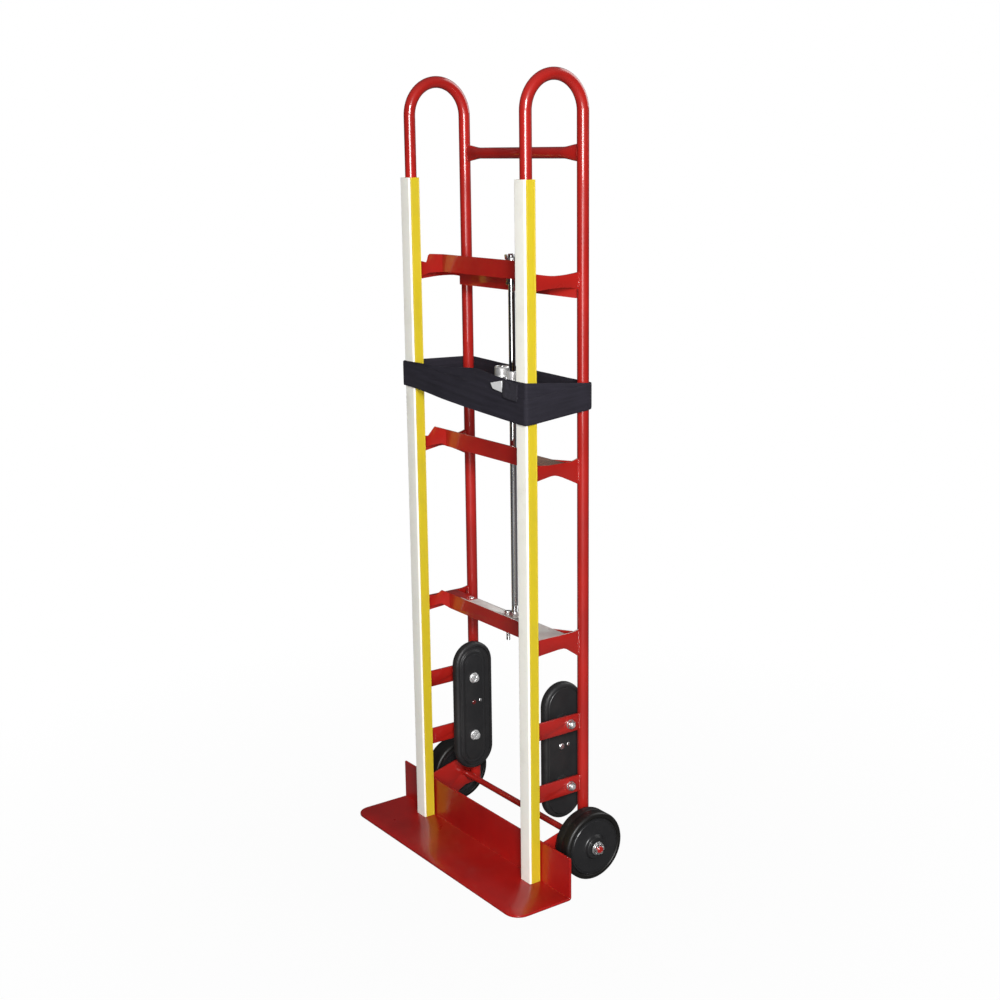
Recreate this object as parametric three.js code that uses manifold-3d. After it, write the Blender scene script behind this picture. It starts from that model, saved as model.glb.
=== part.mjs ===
// Stair climbing appliance trolley: an upright two-wheeled hand truck with crawler units on its
// back, padded bumper strips on its front rails and a webbing strap with a ratchet tightener.
// Millimetres, +Z up. The load side (front) faces -Y; left and right are as seen from the front,
// so left is -X. The origin is on the floor at the centre of the outline.
import * as THREE from "three";
import { mergeVertices } from "three/addons/utils/BufferGeometryUtils.js";
import Module from "manifold-3d";

const wasm = await Module();
wasm.setup();

// ---- driving dimensions ---------------------------------------------------------------------
const HEIGHT = 1524;            // floor to the top of the handle loops
const RAIL_SPACING = 374;       // left side frame to right side frame, centre to centre
const FRAME_DEPTH = 127;        // front rail to rear rail of one side frame, centre to centre
const TUBE_R = 11.1;
const TUBE_WALL = 1.8;
const GAP = 0.35;               // clearance between pieces that touch

const PLATE_T = 4.8;            // toe plate
const TOE_WIDTH = 583;
const TOE_NOSE = 116.6;         // front rail centre to the nose edge
const TOE_CORNER_R = 30;
const FLANGE_HEIGHT = 86;

const WHEEL_R = 67.5;
const WHEEL_INNER = 208.5;      // |x| of the wheel's faces
const WHEEL_OUTER = 250.5;
const AXLE_Y = 106.1;
const AXLE_R = 6.35;
const AXLE_END = 268.5;

const BUMPER_WIDTH = 32;
const BUMPER_FRONT = 15.2;      // in front of the front rail's centre
const BUMPER_SPLIT = 12;        // where the white face ends and the yellow channel shows
const BUMPER_CORNER_R = BUMPER_FRONT - BUMPER_SPLIT;
const BUMPER_REAR = 8.7;        // behind the front rail's centre
const BUMPER_TOP = 1334;

const MEMBER_TOPS = { lower: 488, middle: 820, upper: 1156.5 };   // heights of the level sheets
const CROSS_TUBE_Z = 1378;
const CROSS_TUBE_R = 10.5;

const STRAP_BARS = { lower: 176.5, upper: 304.5 };   // heights of the side straps and bolts
const STRAP_BAR_HEIGHT = 34;
const STRAP_BAR_T = 5;
const CRAWLER_BOLT_Y = 93.2;
const CRAWLER_Y = 99.5;
const CRAWLER_WIDTH = 92;
const CRAWLER_HEIGHT = 281;
const CRAWLER_PLATEAU = 138;    // |x| of the raised face
const CRAWLER_INNER = 143;      // |x| of the belt's two sides
const CRAWLER_OUTER = 163;

const ROD_X = 47;
const ROD_Y = 68;
const ROD_R = 6.35;
const SPOOL_X = 13;             // the tightener's upright spool, beside the rod
const CARRIAGE_LOW = 902;
const CARRIAGE_HIGH = 958;
const SHEET = 3;                // pressed sheet thickness

const RAIL_X = RAIL_SPACING / 2;
const BEND_R = FRAME_DEPTH / 2;
const FLANGE_FRONT = TUBE_R + GAP;
const FLANGE_REAR = FLANGE_FRONT + PLATE_T;
const CENTRE_Y = (AXLE_Y + WHEEL_R - TOE_NOSE) / 2;

// ---- finishes -------------------------------------------------------------------------------
const finish = (color, roughness, metalness) =>
  new THREE.MeshStandardMaterial({ color, roughness, metalness });
const RED = finish(0xb92a22, 0.3, 0.1);
const WHITE = finish(0xe9e6dc, 0.45, 0);
const YELLOW = finish(0xe8cf28, 0.45, 0);
const BLACK = finish(0x1d1d20, 0.5, 0);
const TYRE = finish(0x161618, 0.7, 0);
const ZINC = finish(0xc9cacb, 0.3, 0.9);
const CHROME = finish(0xe4e6e8, 0.08, 1);
const WEB = finish(0x222026, 0.9, 0);

// ---- geometry helpers -----------------------------------------------------------------------
const truck = new THREE.Group();
truck.position.y = -CENTRE_Y;
const SIDES = [["left", -1], ["right", 1]];

// Turns a geometry whose faces point inwards (a mirrored or reversed one) the right way out.
function faceOut(geometry) {
  const p = geometry.attributes.position;
  const at = (i) => new THREE.Vector3().fromBufferAttribute(p, i);
  const index = geometry.index.array;
  let volume = 0;
  for (let i = 0; i < index.length; i += 3) {
    volume += at(index[i]).dot(at(index[i + 1]).cross(at(index[i + 2])));
  }
  if (volume < 0) {
    for (let i = 0; i < index.length; i += 3) {
      [index[i + 1], index[i + 2]] = [index[i + 2], index[i + 1]];
    }
  }
  return geometry;
}

function closed(geometry) {
  geometry.deleteAttribute("normal");
  geometry.deleteAttribute("uv");
  return faceOut(mergeVertices(geometry, 1e-4));
}

function solid(geometry) {
  const g = closed(geometry);
  return new wasm.Manifold(new wasm.Mesh({
    numProp: 3,
    vertProperties: new Float32Array(g.attributes.position.array),
    triVerts: new Uint32Array(g.index.array),
  }));
}

function fromSolid(manifold) {
  const mesh = manifold.getMesh();
  const geometry = new THREE.BufferGeometry();
  geometry.setAttribute("position", new THREE.BufferAttribute(new Float32Array(mesh.vertProperties), 3));
  geometry.setIndex(new THREE.BufferAttribute(new Uint32Array(mesh.triVerts), 1));
  return geometry;
}

function add(name, geometry, material) {
  const ready = geometry.getMesh ? fromSolid(geometry) : closed(geometry);
  ready.computeVertexNormals();
  const mesh = new THREE.Mesh(ready, material);
  mesh.name = name;
  truck.add(mesh);
}

function outline(points) {
  return new THREE.Shape(points.map(([a, b]) => new THREE.Vector2(a, b)));
}

// An outline drawn in plan (x, y), standing from z0 to z1. Each arc gets 2 * segments steps.
function upright(shape, z0, z1, segments = 4) {
  const options = { depth: z1 - z0, bevelEnabled: false, curveSegments: segments };
  const g = new THREE.ExtrudeGeometry(shape, options);
  return g.translate(0, 0, z0);
}

// An outline drawn in side view (y, z), running from x0 to x1.
function sideways(shape, x0, x1, segments = 4) {
  const options = { depth: x1 - x0, bevelEnabled: false, curveSegments: segments };
  const g = new THREE.ExtrudeGeometry(shape, options);
  const turn = new THREE.Matrix4().set(0, 0, 1, x0, 1, 0, 0, 0, 0, 1, 0, 0, 0, 0, 0, 1);
  return g.applyMatrix4(turn);
}

// The same span on the left or the right: side is -1 or 1, a and b are |x| from the middle.
function onSide(shape, side, a, b, segments = 4) {
  return sideways(shape, Math.min(side * a, side * b), Math.max(side * a, side * b), segments);
}

function block(x0, x1, y0, y1, z0, z1) {
  const g = new THREE.BoxGeometry(x1 - x0, y1 - y0, z1 - z0);
  return g.translate((x0 + x1) / 2, (y0 + y1) / 2, (z0 + z1) / 2);
}

// A turned piece: the profile's points are (radius, height) round the Z axis.
function turned(profile, segments = 20) {
  const points = profile.map(([r, h]) => new THREE.Vector2(r, h));
  return new THREE.LatheGeometry(points, segments).rotateX(Math.PI / 2);
}

function ring(rIn, rOut, h0, h1, segments = 20) {
  return turned([[rIn, h0], [rOut, h0], [rOut, h1], [rIn, h1], [rIn, h0]], segments);
}

function rod(r, h0, h1, segments = 16) {
  return turned([[0, h0], [r, h0], [r, h1], [0, h1]], segments);
}

function upAt(geometry, x, y) {
  return geometry.translate(x, y, 0);
}

// A turned piece laid along X at (y, z); its height becomes |x| on the given side.
function acrossAt(geometry, side, y, z) {
  return geometry.rotateY(side * Math.PI / 2).translate(0, y, z);
}

function circleHole(shape, x, y, r) {
  const path = new THREE.Path();
  path.absarc(x, y, r, 0, -Math.PI, true);
  path.absarc(x, y, r, Math.PI, 0, true);
  shape.holes.push(path);
  return shape;
}

function hexagon(acrossFlats) {
  const r = acrossFlats / Math.sqrt(3);
  const corners = [0, 1, 2, 3, 4, 5].map((i) => i * Math.PI / 3);
  return outline(corners.map((a) => [r * Math.cos(a), r * Math.sin(a)]));
}

function nut(acrossFlats, bore, h0, h1) {
  return upright(circleHole(hexagon(acrossFlats), 0, 0, bore), h0, h1);
}

// A slot-shaped outline (two half circles and two straight sides), tall in its second axis.
function racetrack(y, z, width, height) {
  const r = width / 2;
  const run = height / 2 - r;
  const shape = new THREE.Shape();
  shape.absarc(y, z + run, r, 0, Math.PI, false);
  shape.absarc(y, z - run, r, Math.PI, Math.PI * 2, false);
  return shape;
}

function roundedBox(x0, x1, y0, y1, r) {
  const shape = new THREE.Shape();
  shape.absarc(x1 - r, y1 - r, r, 0, Math.PI / 2, false);
  shape.absarc(x0 + r, y1 - r, r, Math.PI / 2, Math.PI, false);
  shape.absarc(x0 + r, y0 + r, r, Math.PI, Math.PI * 1.5, false);
  shape.absarc(x1 - r, y0 + r, r, Math.PI * 1.5, Math.PI * 2, false);
  return shape;
}

// ---- side frames: one tube each, up the front, round the handle loop and down the back --------
// The curve is measured out in stations, few on the straights and many round the bend, so that
// equal steps along it land on the stations.
class BentTube extends THREE.Curve {
  constructor(stations) {
    super();
    this.stations = stations;
  }
  locate(t) {
    const k = Math.min(Math.max(t, 0), 1) * (this.stations.length - 1);
    const i = Math.min(Math.floor(k), this.stations.length - 2);
    return [this.stations[i], this.stations[i + 1], k - i];
  }
  getPoint(t) {
    const [a, b, f] = this.locate(t);
    return a.at.clone().lerp(b.at, f);
  }
  getPointAt(t) {
    return this.getPoint(t);
  }
  getTangent(t) {
    const [a, b, f] = this.locate(t);
    return a.along.clone().lerp(b.along, f).normalize();
  }
  getTangentAt(t) {
    return this.getTangent(t);
  }
}

const FRONT_FOOT = PLATE_T + GAP;
const REAR_FOOT = 50;
const BEND_Z = HEIGHT - TUBE_R - BEND_R;
const BEND_STEPS = 16;

function handleLoop(x) {
  const station = (y, z, dy, dz) => ({ at: new THREE.Vector3(x, y, z), along: new THREE.Vector3(0, dy, dz) });
  const stations = [station(0, FRONT_FOOT, 0, 1)];
  for (let i = 0; i <= BEND_STEPS; i++) {
    const a = Math.PI * i / BEND_STEPS;
    const [s, c] = [Math.sin(a), Math.cos(a)];
    stations.push(station(BEND_R - BEND_R * c, BEND_Z + BEND_R * s, s, c));
  }
  stations.push(station(FRAME_DEPTH, REAR_FOOT, 0, -1));
  return new BentTube(stations);
}

for (const [side, sign] of SIDES) {
  const path = handleLoop(sign * RAIL_X);
  const section = new THREE.Shape().absarc(0, 0, TUBE_R, 0, Math.PI * 2, false);
  const bore = new THREE.Path().absarc(0, 0, TUBE_R - TUBE_WALL, 0, Math.PI * 2, true);
  section.holes.push(bore);
  const tube = new THREE.ExtrudeGeometry(section, {
    steps: path.stations.length - 1,
    curveSegments: 8,
    extrudePath: path,
  });
  add(`side_frame_${side}`, tube, RED);
}

// ---- top cross tube, its ends pressed tall and thin where they meet the rear rails ------------
function topCrossTube() {
  const half = RAIL_X - TUBE_R - GAP;
  const flare = 45;
  const steps = 5;
  const stations = [];
  for (let i = 0; i <= steps; i++) {
    stations.push(half - flare * i / steps);
  }
  const profile = [[0, -half], ...stations.map((x) => [CROSS_TUBE_R, -x])];
  profile.push(...stations.reverse().map((x) => [CROSS_TUBE_R, x]), [0, half]);
  const g = turned(profile).rotateY(Math.PI / 2);
  const p = g.attributes.position;
  for (let i = 0; i < p.count; i++) {
    const t = Math.max(0, (Math.abs(p.getX(i)) - half + flare) / flare);
    const ease = t * t * (3 - 2 * t);
    p.setY(i, p.getY(i) * (1 - 0.55 * ease));
    p.setZ(i, p.getZ(i) * (1 + 0.48 * ease));
  }
  return g.translate(0, FRAME_DEPTH, CROSS_TUBE_Z);
}
add("top_cross_tube", topCrossTube(), RED);

// ---- pressed cross members --------------------------------------------------------------------
// Each is bent from one sheet: a level top, a front web that ends in ears slanting forward to the
// front rails, a rear flange, and waisted side plates that run from front rail to rear rail.
const WEB_Y = 40;
const MEMBER_REAR = 84;
const EAR_FOLD_X = 144;
const ROD_HOLE_R = ROD_R + 0.5;
const FOOT_BOLT_X = 24;
const FOOT_BOLT_R = 4;

// Heights are measured from the level top. web: its lower and upper edge. ear: an outline of
// (distance from the fold, height), ending at the front rail. side: control points of the side
// plate's upper and lower edges as (y, height). rear: how far the rear flange and its ears reach down.
const MEMBER_FORMS = {
  lower: {
    web: [-22, 10],
    ear: [[0, -22], [20, -14], [50, -25.5], [50, 0], [33, 2], [19.6, 14], [3, 9.5], [0, 9.5]],
    sideTop: [[12, -1], [50, -1], [84, 0], [100, 0], [115.5, 3]],
    sideFoot: [[12, -32], [50, -29], [79, -28], [94, -36], [115.5, -51]],
    rear: [23, 23],
  },
  middle: {
    web: [-14, 19.5],
    ear: [[0, -14], [11, -9], [50, -18.5], [50, 3.5], [42, 4], [27, 24], [3, 20], [0, 19]],
    sideTop: [[12, 4], [45, 0], [82, 0], [98, 0], [115.5, 5]],
    sideFoot: [[12, -28], [40, -23], [59, -21], [80, -28], [115.5, -45]],
    rear: [23, 23],
  },
  upper: {
    web: [-3, 30.5],
    ear: [[0, -3.5], [27, -5.5], [50, -13.5], [50, 16.5], [37, 14], [34.5, 19.5], [32.5, 27.5], [29, 30.7],
      [0, 30.5]],
    sideTop: [[12, 14], [40, 9.5], [62, 7.3], [90, 8.3], [115.5, 11.3]],
    sideFoot: [[12, -18.5], [45, -15.5], [70, -14.5], [95, -15.5], [115.5, -19.5]],
    rear: [30.5, 35.5],
  },
};

function sidePlate(top, form) {
  const edge = (points) => new THREE.SplineCurve(points.map(([y, h]) => new THREE.Vector2(y, top + h)))
    .getPoints(8);
  return new THREE.Shape([...edge(form.sideFoot), ...edge(form.sideTop).reverse()]);
}

function ear(top, form, sign) {
  const foot = new THREE.Vector2(RAIL_X, TUBE_R + 4);
  const fold = new THREE.Vector2(EAR_FOLD_X, WEB_Y);
  const shape = outline(form.ear.map(([s, h]) => [Math.min(s, foot.distanceTo(fold)), top + h]));
  const g = new THREE.ExtrudeGeometry(shape, { depth: SHEET, bevelEnabled: false });
  g.rotateX(Math.PI / 2);
  g.rotateZ(Math.atan2(foot.y - fold.y, foot.x - fold.x));
  g.translate(fold.x, fold.y + SHEET, 0);
  return solid(sign > 0 ? g : g.scale(-1, 1, 1));
}

function rearEar(top, form, sign) {
  const shape = outline([
    [140, MEMBER_REAR - SHEET], [RAIL_X, 110], [RAIL_X, 113], [140, MEMBER_REAR],
  ]);
  const [flange, rail] = form.rear;
  const g = upright(shape, -1, top - 1);
  const p = g.attributes.position;
  for (let i = 0; i < p.count; i++) {
    if (p.getZ(i) < 0) {
      const t = (p.getX(i) - 140) / (RAIL_X - 140);
      p.setZ(i, top - flange - (rail - flange) * t);
    }
  }
  return solid(sign > 0 ? g : g.scale(-1, 1, 1));
}

function crossMember(level, holes) {
  const top = MEMBER_TOPS[level];
  const form = MEMBER_FORMS[level];
  const [low, high] = form.web;
  const edge = RAIL_X + SHEET / 2;
  const plan = outline([
    [-EAR_FOLD_X, WEB_Y + 1], [EAR_FOLD_X, WEB_Y + 1], [RAIL_X - 1, TUBE_R + 5], [edge, TUBE_R + 5],
    [edge, MEMBER_REAR], [-edge, MEMBER_REAR], [-edge, TUBE_R + 5], [1 - RAIL_X, TUBE_R + 5],
  ]);
  const reach = EAR_FOLD_X + 2;
  let body = solid(upright(plan, top - SHEET, top));
  body = body.add(solid(block(-reach, reach, WEB_Y, WEB_Y + SHEET, top + low, top + high)));
  const flangeFoot = top - form.rear[0];
  body = body.add(solid(block(-145, 145, MEMBER_REAR - SHEET, MEMBER_REAR, flangeFoot, top - 1)));
  for (const [, sign] of SIDES) {
    body = body.add(solid(onSide(sidePlate(top, form), sign, edge - SHEET, edge)));
    body = body.add(ear(top, form, sign)).add(rearEar(top, form, sign));
  }
  for (const [x, y, r] of holes) {
    body = body.subtract(solid(upAt(rod(r, top - 10, top + 4), x, y)));
  }
  return body;
}

const ROD_HOLE = [ROD_X, ROD_Y, ROD_HOLE_R];
const FOOT_BOLT_HOLE = [FOOT_BOLT_X, ROD_Y, FOOT_BOLT_R + 0.4];
add("lower_cross_member", crossMember("lower", [ROD_HOLE, FOOT_BOLT_HOLE]), RED);
add("middle_cross_member", crossMember("middle", [ROD_HOLE]), RED);
add("upper_cross_member", crossMember("upper", [ROD_HOLE]), RED);

// ---- bumper strips on the front rails ---------------------------------------------------------
// The white face caps the front of the yellow channel, which is open at the back and grips the rail.
const BUMPER_BORE = TUBE_R + GAP;
const FACE_WALL = 2.2;

function bumperFace(x) {
  const w = BUMPER_WIDTH / 2;
  const r = BUMPER_CORNER_R;
  const inner = w - 2.6;
  const shape = new THREE.Shape();
  shape.moveTo(x + w, -BUMPER_SPLIT);
  shape.lineTo(x + inner, -BUMPER_SPLIT);
  shape.lineTo(x + inner, -BUMPER_FRONT + FACE_WALL);
  shape.lineTo(x - inner, -BUMPER_FRONT + FACE_WALL);
  shape.lineTo(x - inner, -BUMPER_SPLIT);
  shape.lineTo(x - w, -BUMPER_SPLIT);
  shape.absarc(x - w + r, -BUMPER_FRONT + r, r, Math.PI, Math.PI * 1.5, false);
  shape.absarc(x + w - r, -BUMPER_FRONT + r, r, Math.PI * 1.5, Math.PI * 2, false);
  return upright(shape, FRONT_FOOT, BUMPER_TOP, 3);
}

function bumperChannel(x) {
  const w = BUMPER_WIDTH / 2;
  const inner = w - 2.6 - GAP;
  const front = -BUMPER_FRONT + FACE_WALL + GAP;
  const open = Math.asin(BUMPER_REAR / BUMPER_BORE);
  const shape = new THREE.Shape();
  shape.moveTo(x + w, -BUMPER_SPLIT + GAP);
  shape.lineTo(x + w, BUMPER_REAR);
  shape.absarc(x, 0, BUMPER_BORE, open, Math.PI - open, true);
  shape.lineTo(x - w, BUMPER_REAR);
  shape.lineTo(x - w, -BUMPER_SPLIT + GAP);
  shape.lineTo(x - inner, -BUMPER_SPLIT + GAP);
  shape.lineTo(x - inner, front);
  shape.lineTo(x + inner, front);
  shape.lineTo(x + inner, -BUMPER_SPLIT + GAP);
  return upright(shape, FRONT_FOOT, BUMPER_TOP, 10);
}

for (const [side, sign] of SIDES) {
  add(`bumper_face_${side}`, bumperFace(sign * RAIL_X), WHITE);
  add(`bumper_channel_${side}`, bumperChannel(sign * RAIL_X), YELLOW);
}

// ---- toe plate: an L of plate, its nose corners rounded ---------------------------------------
function toePlate() {
  const half = TOE_WIDTH / 2;
  const bend = 6;
  const profile = new THREE.Shape();
  profile.moveTo(-TOE_NOSE, PLATE_T);
  profile.lineTo(-TOE_NOSE, 0);
  profile.absarc(FLANGE_REAR - bend, bend, bend, -Math.PI / 2, 0, false);
  profile.lineTo(FLANGE_REAR, FLANGE_HEIGHT);
  profile.lineTo(FLANGE_FRONT, FLANGE_HEIGHT);
  profile.lineTo(FLANGE_FRONT, PLATE_T);
  const plan = new THREE.Shape();
  plan.moveTo(half, FLANGE_REAR + 1);
  plan.lineTo(-half, FLANGE_REAR + 1);
  plan.absarc(TOE_CORNER_R - half, TOE_CORNER_R - TOE_NOSE, TOE_CORNER_R, Math.PI, Math.PI * 1.5, false);
  plan.absarc(half - TOE_CORNER_R, TOE_CORNER_R - TOE_NOSE, TOE_CORNER_R, Math.PI * 1.5, Math.PI * 2, false);
  const ell = solid(sideways(profile, -half, half));
  return ell.intersect(solid(upright(plan, -1, FLANGE_HEIGHT + 1)));
}
add("toe_plate", toePlate(), RED);

// ---- axle brackets: plates from the toe plate's flange back past the axle to the rear rails ----
const BRACKET_IN = RAIL_X + TUBE_R + GAP;
const BRACKET_OUT = BRACKET_IN + 5;

function axleBracket() {
  const shape = new THREE.Shape();
  shape.moveTo(FLANGE_REAR + GAP, 8);
  shape.lineTo(66, 14);
  shape.lineTo(108, 38);
  shape.absarc(120, 56, 20, -Math.PI / 3, 0, false);
  shape.absarc(122, 84, 18, 0, Math.PI / 2, false);
  shape.absarc(96, 92, 10, Math.PI / 2, Math.PI * 0.6, false);
  shape.lineTo(FLANGE_REAR + GAP, 82);
  return circleHole(shape, AXLE_Y, WHEEL_R, AXLE_R + 0.3);
}

for (const [side, sign] of SIDES) {
  add(`axle_bracket_${side}`, onSide(axleBracket(), sign, BRACKET_IN, BRACKET_OUT), RED);
}

// ---- axle and wheels ---------------------------------------------------------------------------
const HUB_IN = 206.5;
const HUB_OUT = 257;
const BUSH_R = 9.2;
const RIM_R = 57;

add("axle", acrossAt(rod(AXLE_R, -AXLE_END, AXLE_END), 1, AXLE_Y, WHEEL_R), RED);

function wheelDisc() {
  const face = WHEEL_OUTER - 2;
  const back = WHEEL_INNER + 2;
  const bore = BUSH_R + GAP;
  return turned([
    [bore, HUB_IN], [18, HUB_IN], [20, back + 3], [44, back + 6], [48, back], [RIM_R - 0.2, back],
    [RIM_R - 0.2, face], [50, face], [47, face - 1], [30, face], [23, face + 1.5],
    [21.5, HUB_OUT - 1], [20, HUB_OUT], [bore, HUB_OUT], [bore, HUB_IN],
  ], 32);
}

function tyre() {
  const r = RIM_R + 0.15;
  return turned([
    [r, WHEEL_INNER + 2], [61, WHEEL_INNER], [64.5, WHEEL_INNER + 1], [66.7, WHEEL_INNER + 3.5],
    [WHEEL_R, WHEEL_INNER + 7], [WHEEL_R, WHEEL_OUTER - 7], [66.7, WHEEL_OUTER - 3.5],
    [64.5, WHEEL_OUTER - 1], [61, WHEEL_OUTER], [r, WHEEL_OUTER - 2], [r, WHEEL_INNER + 2],
  ], 48);
}

for (const [side, sign] of SIDES) {
  const place = (g) => acrossAt(g, sign, AXLE_Y, WHEEL_R);
  add(`axle_spacer_${side}`, place(ring(AXLE_R + 0.3, 13, BRACKET_OUT + GAP, HUB_IN - GAP)), ZINC);
  add(`wheel_tyre_${side}`, place(tyre()), TYRE);
  add(`wheel_disc_${side}`, place(wheelDisc()), BLACK);
  add(`wheel_bush_${side}`, place(ring(AXLE_R + 0.1, BUSH_R, HUB_IN, HUB_OUT)), WHITE);
  add(`axle_nut_${side}`, place(nut(22, AXLE_R + 0.25, HUB_OUT + GAP, HUB_OUT + 10)), ZINC);
}

// ---- crawler units: a racetrack core with an endless belt, bolted to the side straps -----------
const CRAWLER_Z = (STRAP_BARS.lower + STRAP_BARS.upper) / 2 - 2.8;
const CRAWLER_BELT_T = 9;
const CRAWLER_EDGE_R = 8;
const BOLT_R = 5;
const BOLT_HOLE_R = BOLT_R + GAP;
const BAR_IN = RAIL_X - STRAP_BAR_T / 2;
const BAR_OUT = RAIL_X + STRAP_BAR_T / 2;

function strapBar(height) {
  const y0 = TUBE_R + 0.4;
  const y1 = FRAME_DEPTH - TUBE_R - 0.4;
  const half = STRAP_BAR_HEIGHT / 2;
  const shape = outline([[y0, height - half], [y1, height - half], [y1, height + half], [y0, height + half]]);
  return circleHole(shape, CRAWLER_BOLT_Y, height, BOLT_HOLE_R);
}

function crawlerCore(sign) {
  const inset = 2 * (CRAWLER_BELT_T + GAP);
  const body = racetrack(CRAWLER_Y, CRAWLER_Z, CRAWLER_WIDTH - inset, CRAWLER_HEIGHT - inset);
  const plateau = racetrack(CRAWLER_Y - 2, CRAWLER_Z, CRAWLER_WIDTH - 32, CRAWLER_HEIGHT - 34);
  let core = solid(onSide(body, sign, CRAWLER_INNER - 1.5, CRAWLER_OUTER, 7));
  core = core.add(solid(onSide(plateau, sign, CRAWLER_PLATEAU, CRAWLER_INNER + 2, 7)));
  for (const z of Object.values(STRAP_BARS)) {
    const boss = acrossAt(rod(12, CRAWLER_OUTER - 1, BAR_IN - GAP), sign, CRAWLER_BOLT_Y, z);
    const bore = acrossAt(rod(BOLT_HOLE_R, CRAWLER_PLATEAU - 1, BAR_IN + 1), sign, CRAWLER_BOLT_Y, z);
    core = core.add(solid(boss)).subtract(solid(bore));
  }
  return core;
}

// The belt's outer edges are rounded over, so the slot is drawn that much smaller and swells out.
function crawlerBelt(sign) {
  const inset = 2 * CRAWLER_BELT_T;
  const r = CRAWLER_EDGE_R;
  const outer = new THREE.ExtrudeGeometry(racetrack(CRAWLER_Y, CRAWLER_Z, CRAWLER_WIDTH, CRAWLER_HEIGHT), {
    depth: CRAWLER_OUTER - CRAWLER_INNER - 2 * r,
    bevelThickness: r, bevelSize: r, bevelOffset: -r, bevelSegments: 3, curveSegments: 7,
  });
  const start = Math.min(sign * CRAWLER_INNER, sign * CRAWLER_OUTER) + r;
  outer.applyMatrix4(new THREE.Matrix4().set(0, 0, 1, start, 1, 0, 0, 0, 0, 1, 0, 0, 0, 0, 0, 1));
  const bore = racetrack(CRAWLER_Y, CRAWLER_Z, CRAWLER_WIDTH - inset, CRAWLER_HEIGHT - inset);
  return solid(outer).subtract(solid(onSide(bore, sign, CRAWLER_INNER - 1, CRAWLER_OUTER + 1, 7)));
}

function crawlerBolt() {
  const head = CRAWLER_PLATEAU - GAP;
  const washer = solid(rod(11, head - 2, head));
  const hex = solid(upright(hexagon(16), head - 9, head - 1.5));
  return washer.add(hex).add(solid(rod(BOLT_R, head - 1, BAR_OUT + 12)));
}

for (const [side, sign] of SIDES) {
  add(`crawler_core_${side}`, crawlerCore(sign), BLACK);
  add(`crawler_belt_${side}`, crawlerBelt(sign), TYRE);
  for (const [level, z] of Object.entries(STRAP_BARS)) {
    const place = (g) => acrossAt(g, sign, CRAWLER_BOLT_Y, z);
    add(`strap_bar_${side}_${level}`, onSide(strapBar(z), sign, BAR_IN, BAR_OUT), RED);
    add(`crawler_bolt_${side}_${level}`, place(fromSolid(crawlerBolt())), ZINC);
    add(`crawler_nut_${side}_${level}`, place(nut(16, BOLT_R + 0.3, BAR_OUT + GAP, BAR_OUT + 8)), ZINC);
  }
}

// ---- guide rod from the lower to the upper cross member ----------------------------------------
const ROD_LOW = MEMBER_TOPS.lower - 22;
const TOP_NUT_HIGH = MEMBER_TOPS.upper + 22.5;
const ROD_HIGH = TOP_NUT_HIGH + 17;
const rodPart = (g) => upAt(g, ROD_X, ROD_Y);
const UNDER_UPPER = MEMBER_TOPS.upper - SHEET - GAP;
const UNDER_LOWER = MEMBER_TOPS.lower - SHEET - GAP;

add("guide_rod", rodPart(rod(ROD_R, ROD_LOW, ROD_HIGH)), CHROME);
add("rod_top_nut", rodPart(nut(19, ROD_R + 0.3, MEMBER_TOPS.upper + GAP, TOP_NUT_HIGH)), ZINC);
add("rod_wing_nut", rodPart(wingNut(TOP_NUT_HIGH + GAP)), ZINC);
add("rod_upper_collar", rodPart(ring(ROD_R + 0.3, 10.5, UNDER_UPPER - 14, UNDER_UPPER)), CHROME);
add("rod_foot_nut", rodPart(nut(19, ROD_R + 0.3, MEMBER_TOPS.lower + GAP, MEMBER_TOPS.lower + 14)), ZINC);
add("rod_lock_nut", rodPart(nut(19, ROD_R + 0.3, UNDER_LOWER - 10, UNDER_LOWER)), ZINC);

function wingNut(z) {
  const wings = [-1, 1].map((s) => outline([
    [s * 8, z + 1], [s * 19, z + 6], [s * 20, z + 14], [s * 15, z + 15], [s * 8, z + 8],
  ]));
  let body = solid(turned([[0, z], [10.5, z], [8.5, z + 10], [0, z + 10]]));
  for (const wing of wings) {
    const g = new THREE.ExtrudeGeometry(wing, { depth: 3, bevelEnabled: false });
    body = body.add(solid(g.rotateX(Math.PI / 2).translate(0, 1.5, 0)));
  }
  return fromSolid(body.subtract(solid(rod(ROD_R + 0.3, z - 1, z + 20))));
}

// ---- foot bolt beside the rod ------------------------------------------------------------------
function footBolt() {
  const top = MEMBER_TOPS.lower + GAP;
  const head = solid(upright(hexagon(13), top, top + 8));
  return fromSolid(head.add(solid(rod(FOOT_BOLT_R, top - 52, top + 1))));
}
add("foot_bolt", upAt(footBolt(), FOOT_BOLT_X, ROD_Y), ZINC);

// ---- strap tightener: a carriage on the guide rod, with an upright spool, ratchet and lever ----
const SHAFT_R = 5;
const SHAFT_HOLE_R = SHAFT_R + GAP;
const ROLL_R = 17;
const PAWL_X = -14;
const PAWL_Y = 84;
const PAWL_PIN_R = 3;
const RATCHET_T = 3.6;
const RATCHET_Z = CARRIAGE_HIGH + GAP;
const KNOB_Z = RATCHET_Z + RATCHET_T + GAP;
const LEVER_Z = CARRIAGE_LOW - 8.5;
const LEVER_T = 5;
const spoolPart = (g) => upAt(g, SPOOL_X, ROD_Y);

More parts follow.
